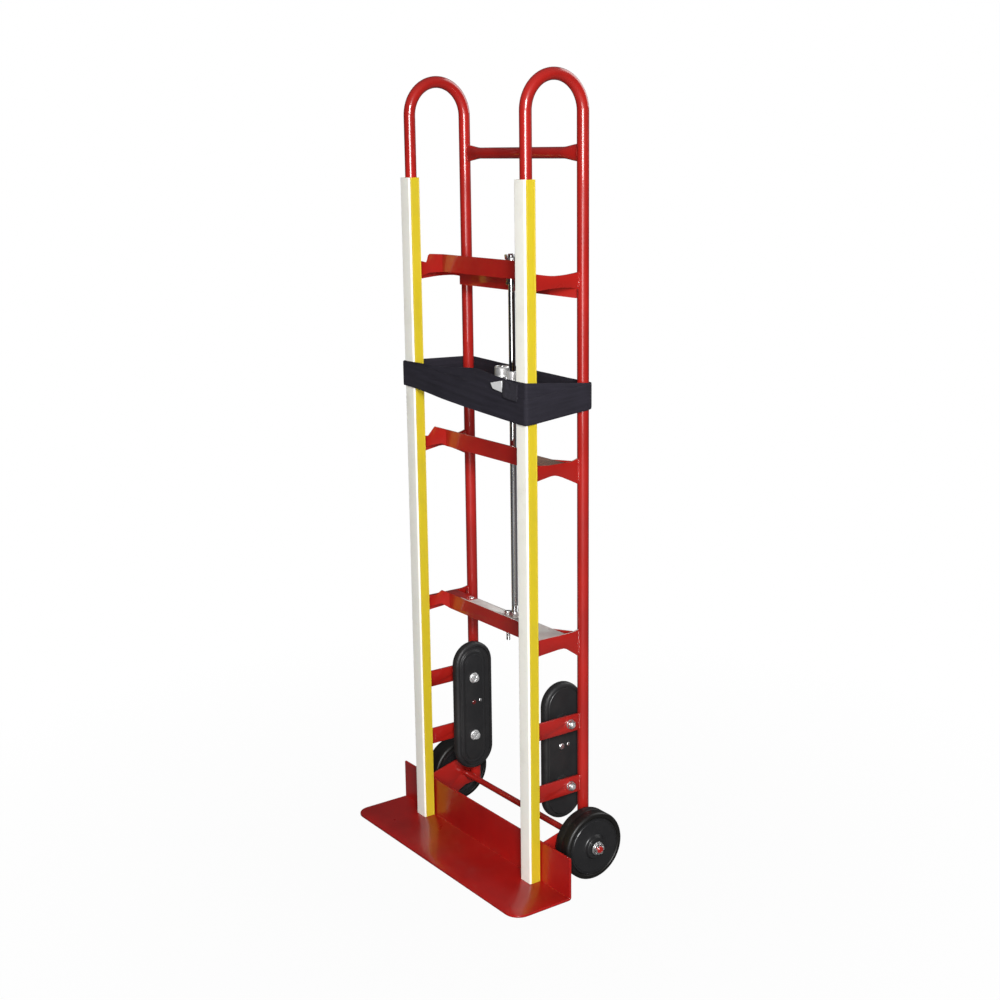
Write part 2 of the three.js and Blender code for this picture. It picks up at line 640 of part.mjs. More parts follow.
function carriageBracket() {
  const plate = roundedBox(-22, 62, 48, 90, 6);
  circleHole(plate, ROD_X, ROD_Y, ROD_R + 0.3);
  circleHole(plate, SPOOL_X, ROD_Y, SHAFT_HOLE_R);
  const low = solid(upright(plate, CARRIAGE_LOW, CARRIAGE_LOW + SHEET));
  const high = solid(upright(plate, CARRIAGE_HIGH - SHEET, CARRIAGE_HIGH));
  const back = solid(block(2, 56, 87, 90, CARRIAGE_LOW + 1, CARRIAGE_HIGH - 1));
  const pin = solid(upAt(rod(PAWL_PIN_R, CARRIAGE_HIGH - 1, CARRIAGE_HIGH + 8), PAWL_X, PAWL_Y));
  const sleeve = solid(rodPart(ring(ROD_R + 0.3, 10.5, CARRIAGE_HIGH - 1, CARRIAGE_HIGH + 18)));
  return low.add(high).add(back).add(pin).add(sleeve);
}

const RATCHET_TEETH = 12;
const TOOTH_START = 21.5;       // degrees; leaves room for the pawl's nose to lift past a tooth face
const TOOTH_ROOT_R = 15.5;
const TOOTH_TIP_R = 19.5;

function ratchetPoint(r, degrees) {
  const a = degrees * Math.PI / 180;
  return [r * Math.cos(a), r * Math.sin(a)];
}

function ratchetWheel() {
  const pitch = 360 / RATCHET_TEETH;
  const points = [];
  for (let k = 0; k < RATCHET_TEETH; k++) {
    points.push(ratchetPoint(TOOTH_ROOT_R, TOOTH_START + k * pitch));
    points.push(ratchetPoint((TOOTH_ROOT_R + TOOTH_TIP_R) / 2, TOOTH_START + (k + 0.5) * pitch));
    points.push(ratchetPoint(TOOTH_TIP_R, TOOTH_START + (k + 1) * pitch));
  }
  return upright(circleHole(outline(points), 0, 0, SHAFT_HOLE_R), RATCHET_Z, RATCHET_Z + RATCHET_T);
}

function pawl() {
  const fromSpool = ([x, y]) => [x + SPOOL_X, y + ROD_Y];
  const nose = [[21, 119.4], [17.5, 119.4], [18.6, 128], [19.8, 137], [21.5, 148]];
  const shape = outline([
    [PAWL_X, PAWL_Y + 5.5], ...nose.map(([r, a]) => fromSpool(ratchetPoint(r, a))),
    [PAWL_X, PAWL_Y - 5.5], [PAWL_X - 5, PAWL_Y - 3], [PAWL_X - 9, PAWL_Y + 1], [PAWL_X - 7, PAWL_Y + 6],
  ].reverse());
  return upright(circleHole(shape, PAWL_X, PAWL_Y, PAWL_PIN_R + 0.3), RATCHET_Z, RATCHET_Z + RATCHET_T);
}

function lever() {
  const hub = solid(upAt(rod(12, LEVER_Z, LEVER_Z + LEVER_T), SPOOL_X, ROD_Y));
  const arm = solid(block(SPOOL_X - 8, SPOOL_X + 8, ROD_Y + 4, 167, LEVER_Z, LEVER_Z + LEVER_T));
  const bore = solid(upAt(rod(SHAFT_HOLE_R, LEVER_Z - 1, LEVER_Z + LEVER_T + 1), SPOOL_X, ROD_Y));
  return hub.add(arm).subtract(bore);
}

function leverGrip() {
  const profile = roundedBox(SPOOL_X - 12, SPOOL_X + 12, 112, 170, 6);
  const sleeve = solid(upright(profile, LEVER_Z - 3, LEVER_Z + 8));
  const slot = block(SPOOL_X - 8.35, SPOOL_X + 8.35, 111, 171, LEVER_Z - GAP, LEVER_Z + LEVER_T + GAP);
  return sleeve.subtract(solid(slot));
}

const spoolShaft = turned([
  [0, LEVER_Z - 5], [8, LEVER_Z - 5], [8, LEVER_Z - 0.4], [SHAFT_R, LEVER_Z - 0.4],
  [SHAFT_R, KNOB_Z + 21], [0, KNOB_Z + 21],
]);

add("carriage_bracket", carriageBracket(), ZINC);
add("spool_shaft", spoolPart(spoolShaft), ZINC);
add("webbing_roll", spoolPart(ring(SHAFT_HOLE_R, ROLL_R, CARRIAGE_LOW + 5, CARRIAGE_HIGH - 5)), WEB);
add("ratchet_wheel", spoolPart(ratchetWheel()), ZINC);
add("tightener_knob", spoolPart(ring(SHAFT_HOLE_R, 14.5, KNOB_Z, KNOB_Z + 20)), CHROME);
add("ratchet_pawl", pawl(), ZINC);
add("ratchet_lever", lever(), ZINC);
add("lever_grip", leverGrip(), BLACK);

// ---- webbing: two turns round all four rails, the outer one hanging low at the front right -----
const WEBBING_T = 2;
const WEBBING_WIDTH = 48;

// The taut line round the two bumpers and the two rear rails, pushed out by a clearance.
function strapOutline(clearance) {
  const edge = RAIL_X + BUMPER_WIDTH / 2;
  const r = BUMPER_CORNER_R;
  const front = { x: edge - r, y: r - BUMPER_FRONT, r: r + clearance };
  const middle = { x: edge - 1, y: BUMPER_REAR - 1, r: 1 + clearance };
  const rear = { x: RAIL_X, y: FRAME_DEPTH, r: TUBE_R + clearance };
  const reach = Math.hypot(middle.x - rear.x, middle.y - rear.y);
  const slope = Math.acos((rear.r - middle.r) / reach) + Math.atan2(middle.y - rear.y, middle.x - rear.x);
  const shape = new THREE.Shape();
  const corner = (c, side, from, to) => shape.absarc(side * c.x, c.y, c.r, from, to, false);
  corner(front, 1, -Math.PI / 2, 0);
  corner(middle, 1, 0, slope);
  corner(rear, 1, slope, Math.PI / 2);
  corner(rear, -1, Math.PI / 2, Math.PI - slope);
  corner(middle, -1, Math.PI - slope, Math.PI);
  corner(front, -1, Math.PI, Math.PI * 1.5);
  return shape;
}

// lows: the strap's lower edge at the front left, front right, rear right and rear left corners.
function strapTurn(clearance, lows) {
  const shape = strapOutline(clearance + WEBBING_T);
  shape.holes.push(strapOutline(clearance));
  const g = upright(shape, 0, WEBBING_WIDTH);
  const p = g.attributes.position;
  for (let i = 0; i < p.count; i++) {
    const u = p.getX(i) / RAIL_SPACING + 0.5;
    const v = p.getY(i) / FRAME_DEPTH;
    const front = lows[0] + (lows[1] - lows[0]) * u;
    const rear = lows[3] + (lows[2] - lows[3]) * u;
    p.setZ(i, p.getZ(i) + front + (rear - front) * v);
  }
  return g;
}

const hookOutline = outline([[103, 970], [139, 978], [141, 956], [110, 960]]);
const WEBBING_FRONT = -BUMPER_FRONT - 0.9 - 2 * WEBBING_T;

function onFront(shape, y0, y1) {
  const g = new THREE.ExtrudeGeometry(shape, { depth: y1 - y0, bevelEnabled: false });
  return g.rotateX(Math.PI / 2).translate(0, y1, 0);
}

const hookY = WEBBING_FRONT - GAP;
add("strap_inner_turn", strapTurn(0.5, [933, 933, 925, 925]), WEB);
add("strap_outer_turn", strapTurn(0.5 + WEBBING_T + 0.4, [927, 905, 917, 922]), WEB);
add("strap_lead", block(SPOOL_X - ROLL_R - 2.4, SPOOL_X - ROLL_R - 0.4, 66, 138.1, 907, 953), WEB);
add("strap_hook", onFront(hookOutline, hookY - 2.5, hookY), ZINC);
add("strap_end_loop", block(141.6, 187, hookY - 4.5, hookY, 944, 981), WEB);

export default truck;
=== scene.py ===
import math

import bmesh
import bpy
from mathutils import Matrix, Vector, noise

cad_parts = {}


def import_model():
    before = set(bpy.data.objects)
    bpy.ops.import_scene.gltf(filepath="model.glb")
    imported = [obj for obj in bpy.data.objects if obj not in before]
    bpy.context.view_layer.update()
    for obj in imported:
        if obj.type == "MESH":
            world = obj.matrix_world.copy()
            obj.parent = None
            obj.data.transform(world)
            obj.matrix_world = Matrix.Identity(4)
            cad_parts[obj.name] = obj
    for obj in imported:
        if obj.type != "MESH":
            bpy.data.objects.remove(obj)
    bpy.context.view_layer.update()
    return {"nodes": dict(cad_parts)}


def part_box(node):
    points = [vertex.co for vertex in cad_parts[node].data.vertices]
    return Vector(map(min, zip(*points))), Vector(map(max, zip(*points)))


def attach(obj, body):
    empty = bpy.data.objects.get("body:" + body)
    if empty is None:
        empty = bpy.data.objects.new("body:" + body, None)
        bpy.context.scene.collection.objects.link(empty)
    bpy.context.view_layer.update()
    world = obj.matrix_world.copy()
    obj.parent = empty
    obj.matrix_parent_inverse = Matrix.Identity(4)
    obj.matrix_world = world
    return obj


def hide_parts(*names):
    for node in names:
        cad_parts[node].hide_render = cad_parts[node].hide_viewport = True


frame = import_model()

# ---- places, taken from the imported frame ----
MM = 0.001
rail_lo, rail_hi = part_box("side_frame_right")
RAIL_X = (rail_lo.x + rail_hi.x) / 2
TUBE_R = (rail_hi.x - rail_lo.x) / 2
FRONT_Y = rail_lo.y + TUBE_R
REAR_Y = rail_hi.y - TUBE_R
DEPTH = REAR_Y - FRONT_Y
BEND_R = DEPTH / 2
BEND_Z = rail_hi.z - TUBE_R - BEND_R
SIDES = (("left", -1), ("right", 1))
LEVELS = ("lower", "upper")


def middle(node):
    lo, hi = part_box(node)
    return (lo + hi) / 2


def reach(node):
    """The node's nearest and farthest distance from the middle plane."""
    return sorted(abs(corner.x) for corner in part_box(node))


# ---- shape helpers ----
def arc(cx, cy, r, start, end, steps):
    """Points on an arc, angles in degrees."""
    angles = [math.radians(start + (end - start) * i / steps) for i in range(steps + 1)]
    return [(cx + r * math.cos(a), cy + r * math.sin(a)) for a in angles]


def ring_profile(r_in, r_out, low, high):
    return [(r_in, low), (r_out, low), (r_out, high), (r_in, high)]


def stepped(base, *points):
    """(radius, height) points given in mm, the heights counted from base."""
    return [(r * MM, base + h * MM) for r, h in points]


def skin(bm, rings, along=False):
    """Faces between neighbouring rings of vertices; along closes the row of rings."""
    pairs = list(zip(rings, rings[1:]))
    if along:
        pairs.append((rings[-1], rings[0]))
    for a, b in pairs:
        n = max(len(a), len(b))
        for i in range(n):
            j = (i + 1) % n
            if len(a) == 1:
                bm.faces.new((a[0], b[i], b[j]))
            elif len(b) == 1:
                bm.faces.new((a[i], b[0], a[j]))
            else:
                bm.faces.new((a[i], b[i], b[j], a[j]))


def cap(bm, rings):
    """Faces over the first ring and the last."""
    bm.faces.new(list(reversed(rings[0])))
    bm.faces.new(rings[-1])


def turned(profile, segments=48, closed=False, radius=None):
    """A piece turned round Z from (radius, height) points; radius(r, h, angle) may reshape it.

    closed joins the last point to the first, which leaves a bore.
    """
    bm = bmesh.new()
    rings = []
    for r, h in profile:
        if not r:
            rings.append([bm.verts.new((0, 0, h))])
            continue
        ring = []
        for i in range(segments):
            a = math.tau * i / segments
            q = radius(r, h, a) if radius else r
            ring.append(bm.verts.new((q * math.cos(a), q * math.sin(a), h)))
        rings.append(ring)
    skin(bm, rings, along=closed)
    return bm


def prism(outline, low, high):
    """An outline in (x, y), standing from low to high."""
    bm = bmesh.new()
    rings = [[bm.verts.new((x, y, h)) for x, y in outline] for h in (low, high)]
    skin(bm, rings)
    cap(bm, rings)
    return bm


def sweep(bm, points, section, scales=None, closed=False, side=(0, 0, 1)):
    """A closed section [(a, b), ...] swept along points; a lies along the side direction."""
    points = [Vector(p) for p in points]
    n = len(points)
    side = Vector(side)
    rings = []
    for i, p in enumerate(points):
        ahead = points[(i + 1) % n] if closed or i < n - 1 else p
        behind = points[i - 1] if closed or i else p
        t = (ahead - behind).normalized()
        side = (side - t * side.dot(t)).normalized()
        other = t.cross(side)
        k = scales[i] if scales else 1
        rings.append([bm.verts.new(p + (side * a + other * b) * k) for a, b in section])
    skin(bm, rings, along=closed)
    if not closed:
        cap(bm, rings)


def circle(r, steps):
    return arc(0, 0, r, 0, 360, steps)[:-1]


def rounded(width, height, r, steps=4):
    """A rounded rectangle round the origin."""
    a, b = width / 2 - r, height / 2 - r
    return (
        arc(a, b, r, 0, 90, steps)
        + arc(-a, b, r, 90, 180, steps)
        + arc(-a, -b, r, 180, 270, steps)
        + arc(a, -b, r, 270, 360, steps)
    )


def across(bm, side, y, z):
    """Lays a turned piece along X at (y, z), its height becoming |x| on that side."""
    bm.transform(Matrix.Translation((0, y, z)) @ Matrix.Rotation(side * math.pi / 2, 4, "Y"))
    return bm


def at(bm, x, y, z=0):
    bm.transform(Matrix.Translation((x, y, z)))
    return bm


def join(*parts):
    """One bmesh holding every part as its own closed shell."""
    whole = bmesh.new()
    for part in parts:
        mesh = bpy.data.meshes.new("part")
        bmesh.ops.recalc_face_normals(part, faces=part.faces)
        part.to_mesh(mesh)
        part.free()
        whole.from_mesh(mesh)
        bpy.data.meshes.remove(mesh)
    return whole


def cad_shape(node):
    """The node's own shape with its flat faces made whole, ready for edge rounding."""
    bm = bmesh.new()
    bm.from_mesh(frame["nodes"][node].data)
    bmesh.ops.remove_doubles(bm, verts=bm.verts, dist=5e-6)
    bmesh.ops.dissolve_limit(bm, angle_limit=math.radians(0.5), verts=bm.verts, edges=bm.edges)
    return bm


def added(name, data):
    obj = bpy.data.objects.new(name, data)
    bpy.context.scene.collection.objects.link(obj)
    return obj


def piece(name, bm, material, body, slot, replaces="", edge=0, segments=2, sharp=34, limit=30):
    """Makes the object: rides its body, stands for its node, rounds its edges; its slot is not used."""
    bmesh.ops.recalc_face_normals(bm, faces=bm.faces)
    mesh = bpy.data.meshes.new(name)
    bm.to_mesh(mesh)
    bm.free()
    mesh.polygons.foreach_set("use_smooth", [True] * len(mesh.polygons))
    mesh.materials.append(material)
    obj = added(name, mesh)
    if edge:
        bevel = obj.modifiers.new("edge", "BEVEL")
        bevel.width = edge
        bevel.segments = segments
        bevel.limit_method = "ANGLE"
        bevel.angle_limit = math.radians(limit)
        bevel.harden_normals = True
    else:
        mesh.set_sharp_from_angle(angle=math.radians(sharp))
    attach(obj, body)
    if replaces:
        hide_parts(replaces)


# ---- material helpers ----
ENAMEL = (0.38, 0.0125, 0.0090)
DUST = (0.25, 0.075, 0.045)
GREY_DUST = (0.16, 0.15, 0.135)
RIB_PITCH = 2.6 * MM  # of the webbing, across it
PICK_PITCH = 2.1 * MM  # and along it


class Nodes:
    """Adds nodes to a tree; an input is a value or another node's output."""

    def __init__(self, tree):
        self.nodes, self.links = tree.nodes, tree.links

    def node(self, kind, inputs=(), **settings):
        made = self.nodes.new(kind)
        for key, value in settings.items():
            setattr(made, key, value)
        for key, value in dict(inputs).items():
            self.put(value, made.inputs[key])
        return made

    def put(self, value, socket):
        if isinstance(value, bpy.types.NodeSocket):
            self.links.new(value, socket)
        else:
            socket.default_value = value


class Look(Nodes):
    """One procedural material on the Principled shader."""

    def __init__(self, name, color, roughness, metallic=0.0, **fixed):
        self.material = bpy.data.materials.new(name)
        self.material.use_nodes = True
        super().__init__(self.material.node_tree)
        self.shader = self.nodes["Principled BSDF"]
        fixed = {"Base_Color": (*color, 1), "Roughness": roughness, "Metallic": metallic, **fixed}
        for socket, value in fixed.items():
            self.shader.inputs[socket.replace("_", " ")].default_value = value
        self.place = self.nodes.new("ShaderNodeTexCoord").outputs["Object"]
        self.normal = None

    def stretched(self, scale, source=None):
        inputs = {"Vector": source or self.place, "Scale": scale}
        return self.node("ShaderNodeMapping", inputs).outputs["Vector"]

    def noise(self, scale, detail=2.0, rough=0.5, vector=None):
        inputs = {"Vector": vector or self.place, "Scale": scale, "Detail": detail, "Roughness": rough}
        return self.node("ShaderNodeTexNoise", inputs).outputs["Fac"]

    def span(self, value, low, high, to_low=0.0, to_high=1.0):
        """Maps low..high to to_low..to_high, clamped."""
        inputs = {0: value, 1: low, 2: high, 3: to_low, 4: to_high}
        return self.node("ShaderNodeMapRange", inputs, clamp=True).outputs[0]

    def calc(self, operation, a, b=0.0, c=0.0):
        return self.node("ShaderNodeMath", {0: a, 1: b, 2: c}, operation=operation).outputs[0]

    def times(self, a, b):
        return self.calc("MULTIPLY", a, b)

    def mix(self, factor, a, b):
        """Colour mix; a and b are colours or sockets."""
        a, b = ((*value, 1) if isinstance(value, tuple) else value for value in (a, b))
        return self.node("ShaderNodeMix", {0: factor, 6: a, 7: b}, data_type="RGBA").outputs[2]

    def color(self, value):
        self.put(value, self.shader.inputs["Base Color"])

    def roughness(self, value):
        self.put(value, self.shader.inputs["Roughness"])

    def bump(self, height, strength, distance):
        """Adds a bump on top of the ones before it."""
        inputs = {"Height": height, "Strength": strength, "Distance": distance}
        if self.normal:
            inputs["Normal"] = self.normal
        self.normal = self.node("ShaderNodeBump", inputs).outputs["Normal"]
        self.put(self.normal, self.shader.inputs["Normal"])


def red_paint(name, scuffs=0.0, tone=ENAMEL, coat=0.8, reflected_top_color=None, reflection_from_x=-1.0):
    """Gloss enamel over steel: slight orange peel, uneven gloss and a little dust.

    The top colour, where one is given, is a painted reflection of the pale room: level faces that point
    up take it, to the right of the given x, mottled towards the deep tone.
    """
    deep = tuple(c * 0.78 for c in tone)
    look = Look(
        name, tone, 0.3, Coat_Weight=coat, Coat_Roughness=0.06 + scuffs, Specular_IOR_Level=0.35
    )
    base = look.mix(look.span(look.noise(9, 3), 0.35, 0.65), deep, tone)
    dust = look.times(look.span(look.noise(26, 6, 0.65), 0.55, 0.80), 0.08 + scuffs)
    base = look.mix(dust, base, DUST)
    if scuffs:
        streaks = look.noise(1.0, 5, 0.6, look.stretched((160, 14, 14)))
        worn = look.times(look.span(streaks, 0.62, 0.76), scuffs)
        base = look.mix(worn, base, (0.34, 0.16, 0.12))
    # Painted reflection: faces pointing up are coloured as if they mirrored the pale room.
    if reflected_top_color:
        facing = look.node("ShaderNodeNewGeometry").outputs["Normal"]
        level = look.node("ShaderNodeSeparateXYZ", {0: facing}).outputs[2]
        mottled_top_reflection = look.mix(look.span(look.noise(30, 6, 0.65), 0.35, 0.75, 0, 0.4), reflected_top_color, deep)
        sideways = look.node("ShaderNodeSeparateXYZ", {0: look.place}).outputs[0]
        beyond = look.span(sideways, reflection_from_x, reflection_from_x + 6 * MM)
        top_reflection_mask = look.times(look.span(level, 0.80, 0.97), beyond)
        base = look.mix(top_reflection_mask, base, mottled_top_reflection)
    look.color(base)
    look.roughness(look.span(look.noise(12, 2), 0.3, 0.7, 0.27, 0.37 + 0.2 * scuffs))
    look.bump(look.noise(420, 2), 0.03, 0.0003)
    look.bump(look.noise(30, 2), 0.04, 0.0008)
    return look.material


def strip_plastic(name, tone, dirt, tint):
    """Extruded plastic: fine lines along the strip, rub marks and grime."""
    look = Look(name, tone, 0.42, Specular_IOR_Level=0.45, Subsurface_Weight=0.04)
    lines = look.noise(1.0, 3, 0.5, look.stretched((900, 900, 2.0)))
    grime = look.span(look.noise(14, 7, 0.7), 0.50, 0.80)
    base = look.mix(look.span(lines, 0.3, 0.7, 0, 0.35), tone, tint)
    base = look.mix(look.times(grime, 0.30), base, dirt)
    rubs = look.noise(1.0, 4, 0.6, look.stretched((60, 60, 420)))
    base = look.mix(look.span(rubs, 0.66, 0.74, 0, 0.35), base, dirt)
    look.color(base)
    look.roughness(look.span(look.noise(60, 3), 0.3, 0.7, 0.34, 0.52))
    look.bump(lines, 0.16, 0.0003)
    return look.material


def moulded(name, tone, low, high, grain, depth, dust=0.05):
    """Moulded black plastic or rubber with a fine grain and settled dust."""
    look = Look(name, tone, (low + high) / 2, Specular_IOR_Level=0.38)
    dusty = look.span(look.noise(20, 6, 0.68), 0.45, 0.80, 0, dust)
    look.color(look.mix(dusty, tone, GREY_DUST))
    look.roughness(look.span(look.noise(45, 4), 0.3, 0.7, low, high))
    look.bump(look.noise(grain, 2), 0.22, depth)
    return look.material


def bare_metal(name, tone, low, high, brushed=(1, 1, 1), stain=0.15, metallic=1.0):
    """Plated steel: uneven gloss, faint brushing and a little tarnish."""
    look = Look(name, tone, (low + high) / 2, metallic)
    dull = tuple(c * 0.62 for c in tone)
    marks = look.span(look.noise(70, 6, 0.65), 0.5, 0.8, 0, stain)
    look.color(look.mix(marks, tone, dull))
    grain = look.noise(1.0, 3, 0.5, look.stretched(tuple(260 * k for k in brushed)))
    look.roughness(look.span(grain, 0.3, 0.7, low, high))
    look.bump(grain, 0.06, 0.0002)
    return look.material


def webbing_cloth(name, tone, sheen=0.02):
    """Woven strap: lengthwise ribs crossed by picks, on the strap's own (along, across) metres."""
    look = Look(name, tone, 0.72, Sheen_Weight=sheen, Sheen_Roughness=0.4, Specular_IOR_Level=0.2)
    uv = look.node("ShaderNodeUVMap", uv_map="strap").outputs["UV"]
    parts = look.node("ShaderNodeSeparateXYZ", {0: uv})
    along, width = parts.outputs[0], parts.outputs[1]
    rib = look.calc("SINE", look.times(width, math.tau / RIB_PITCH))
    step = look.times(look.calc("ROUND", look.calc("DIVIDE", width, RIB_PITCH / 2)), math.pi)
    pick = look.calc("SINE", look.calc("ADD", look.times(along, math.tau / PICK_PITCH), step))
    weave = look.calc("MULTIPLY_ADD", look.calc("ABSOLUTE", rib), 0.6, 0.5)
    weave = look.calc("ADD", weave, look.times(pick, 0.4))
    fuzz = look.noise(900, 3)
    pale = tuple(c * 2.5 + 0.0045 for c in tone)
    base = look.mix(look.span(weave, -0.3, 1.3, 0, 0.5), tone, pale)
    streaks = look.noise(1.0, 5, 0.65, look.stretched((9, 150, 1), uv))
    base = look.mix(look.span(streaks, 0.42, 0.70, 0, 0.75), base, pale)
    faded = look.span(look.noise(16, 5, 0.65), 0.42, 0.75, 0, 0.45)
    base = look.mix(faded, base, pale)
    look.color(base)
    look.roughness(look.span(fuzz, 0.3, 0.7, 0.62, 0.85))
    look.bump(weave, 0.45, 0.0005)
    look.bump(fuzz, 0.25, 0.0003)
    return look.material


RED = red_paint("red enamel")
RED_PLATE = red_paint("red enamel, scuffed", scuffs=0.08, tone=(0.34, 0.0065, 0.005), coat=0.4)
# The members' level tops get a painted reflection: pale on the lower member, brownish on the middle.
RED_PALE_TOP_REFLECTION = red_paint("red enamel, painted pale reflection on top", reflected_top_color=(0.78, 0.77, 0.74), reflection_from_x=-0.105)
RED_BROWN_TOP_REFLECTION = red_paint("red enamel, painted brown reflection on top", reflected_top_color=(0.40, 0.24, 0.17))
WHITE = strip_plastic("white strip", (0.90, 0.87, 0.79), (0.55, 0.50, 0.42), (0.84, 0.80, 0.72))
YELLOW = strip_plastic("yellow strip", (0.57, 0.435, 0.016), (0.30, 0.24, 0.04), (0.50, 0.37, 0.014))
PLASTIC = moulded("black plastic", (0.016, 0.016, 0.017), 0.34, 0.50, 700, 0.0004)
DISC = moulded("wheel plastic", (0.014, 0.014, 0.015), 0.24, 0.38, 500, 0.0002, dust=0.04)
TYRE = moulded("tyre rubber", (0.0055, 0.005, 0.0045), 0.36, 0.52, 380, 0.0005, dust=0.03)
BELT = moulded("crawler rubber", (0.013, 0.013, 0.014), 0.42, 0.60, 420, 0.0005, dust=0.08)
STUD_RED = red_paint("red stud", tone=(0.11, 0.010, 0.010))
NYLON = moulded("nylon bush", (0.62, 0.60, 0.55), 0.35, 0.5, 300, 0.0002)
ZINC = bare_metal("zinc plate", (0.74, 0.74, 0.75), 0.20, 0.36)
SATIN = bare_metal("satin zinc", (0.60, 0.60, 0.60), 0.34, 0.46, metallic=0.6)
BRIGHT = bare_metal("bright steel", (0.86, 0.86, 0.86), 0.24, 0.38, stain=0.08)
KNURLED = bare_metal("knurled zinc", (0.78, 0.78, 0.77), 0.3, 0.45, metallic=0.75)
PALE_ZINC = bare_metal("passivated zinc", (0.88, 0.88, 0.88), 0.35, 0.5, metallic=0.35)
CHROME = bare_metal("chrome", (0.84, 0.85, 0.86), 0.05, 0.12, brushed=(1, 1, 0.05), stain=0.10)
CLOTH = webbing_cloth("black webbing", (0.0075, 0.0066, 0.0105))
# A lighter copy of the same black webbing for the end loop: painted light where the loop catches the
# lamps.
CLOTH_PAINTED_LIGHT = webbing_cloth("black webbing, painted lighter", (0.012, 0.011, 0.015))


def red(name, bm, replaces="", **finish):
    piece(name, bm, RED, "root", "red_paint", replaces, **finish)


def bright(name, bm, replaces="", **finish):
    piece(name, bm, BRIGHT, "root", "zinc", replaces, **finish)


# ---- side frames ----
WALL = 1.8 * MM
TUBE_SIDES = 40
BEND_STEPS = 40
STRAIGHT = 400 * MM  # from each foot to the next ring of vertices
REAR_FOOT = 50 * MM


def side_frame(x, foot_front, foot_rear):
    """A bent tube, open at both feet, with its wall."""
    path = [(x, FRONT_Y, foot_front), (x, FRONT_Y, foot_front + STRAIGHT)]
    for i in range(BEND_STEPS + 1):
        a = math.pi * i / BEND_STEPS
        path.append((x, FRONT_Y + BEND_R - BEND_R * math.cos(a), BEND_Z + BEND_R * math.sin(a)))
    path += [(x, REAR_Y, foot_rear + STRAIGHT), (x, REAR_Y, foot_rear)]
    shells = []
    for r in (TUBE_R, TUBE_R - WALL):
        shell = bmesh.new()
        sweep(shell, path, circle(r, TUBE_SIDES), side=(1, 0, 0))
        ends = [f for f in shell.faces if len(f.verts) == TUBE_SIDES]
        bmesh.ops.delete(shell, geom=ends, context="FACES_ONLY")
        shells.append(shell)
    bm = join(*shells)
    rims = [e for e in bm.edges if e.is_boundary]
    for y, z in ((FRONT_Y, foot_front), (REAR_Y, foot_rear)):
        loop = [
            e for e in rims
            if abs(e.verts[0].co.y - y) < 2 * TUBE_R and abs(e.verts[0].co.z - z) < MM
        ]
        bmesh.ops.bridge_loops(bm, edges=loop)
    return bm


for side, sign in SIDES:
    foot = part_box("side_frame_" + side)[0].z
    tube = side_frame(sign * RAIL_X, foot, REAR_FOOT)
    red("bent_tube_" + side, tube, "side_frame_" + side, sharp=50)


# ---- weld beads ----
def bead(points, radius, seed, closed=False):
    """A rippled weld bead along points, thinning out at its ends."""
    fine = []
    points = [Vector(p) for p in points]
    ends = points + points[:1] if closed else points
    for a, b in zip(ends, ends[1:]):
        n = max(2, int((b - a).length / (0.7 * MM)))
        fine += [a.lerp(b, i / n) for i in range(n)]
    if not closed:
        fine.append(points[-1])
    scales = []
    for i, p in enumerate(fine):
        ripple = 1 + 0.14 * math.sin(i * 1.7 + seed)
        ripple += 0.25 * noise.noise(p * 160 + Vector((seed, 0, 0)))
        near = 1 if closed else min(1, 0.35 + 0.25 * min(i, len(fine) - 1 - i))
        scales.append(ripple * near)
    bm = bmesh.new()
    sweep(bm, fine, circle(radius, 10), scales, closed, side=(0.31, 0.83, 0.45))
    return bm


def rail_weld(x, y, half_gap, z0, z1, seed, toward):
    """Two beads, one each side of a plate that meets a rail edge on, at plate height z0 to z1."""
    depth = math.sqrt(TUBE_R**2 - half_gap**2)
    beads = []
    for s in (-1, 1):
        px = x + s * (half_gap + 0.5 * MM)
        py = y + toward * (depth + 0.4 * MM)
        beads.append(bead([(px, py, z0), (px, py, z1)], 1.9 * MM, seed + s))
    return beads


# ---- top cross tube ----
def top_tube():
    """A tube whose ends are flattened and flared to the rear rails."""
    lo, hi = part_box("top_cross_tube")
    half, z = hi.x, (lo.z + hi.z) / 2
    r, flare, stations = 10.5 * MM, 45 * MM, 14
    bm = bmesh.new()
    rings = []
    xs = [half - flare * i / stations for i in range(stations + 1)]
    for x in [-v for v in xs] + list(reversed(xs)):
        t = max(0, (abs(x) - half + flare) / flare)
        ease = t * t * (3 - 2 * t)
        ring = []
        for a, b in circle(r, 40):
            y = REAR_Y + a * (1 - 0.55 * ease)
            ring.append(bm.verts.new((x, y, z + b * (1 + 0.48 * ease))))
        rings.append(ring)
    skin(bm, rings)
    cap(bm, rings)
    return bm, half, z


tube, tube_half, tube_z = top_tube()
red("cross_tube_top", tube, "top_cross_tube", sharp=50)
for side, sign in SIDES:
    ring = [
        (sign * tube_half, REAR_Y + 5.2 * MM * math.cos(a), tube_z + 15.6 * MM * math.sin(a))
        for a in (math.tau * i / 24 for i in range(24))
    ]
    red("weld_cross_tube_" + side, bead(ring, 1.8 * MM, sign, closed=True))

# ---- cross members ----
MEMBERS = ("lower", "middle", "upper")
PLATE_HALF = 1.5 * MM
MEMBER_RISES = {"lower": 14 * MM, "middle": 24 * MM, "upper": 30.7 * MM}
MEMBER_WELDS = {  # weld ends at the front and rear rails, in mm from the level sheet
    "lower": ((-30, -2), (-47, 2)),
    "middle": ((-26, 3), (-41, 4)),
    "upper": ((-17, 12), (-17, 10)),
}
MEMBER_PAINT = {"lower": RED_PALE_TOP_REFLECTION, "middle": RED_BROWN_TOP_REFLECTION, "upper": RED}


def member_top(level):
    """The level sheet's height: the front web and its ears rise above it."""
    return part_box(level + "_cross_member")[1].z - MEMBER_RISES[level]


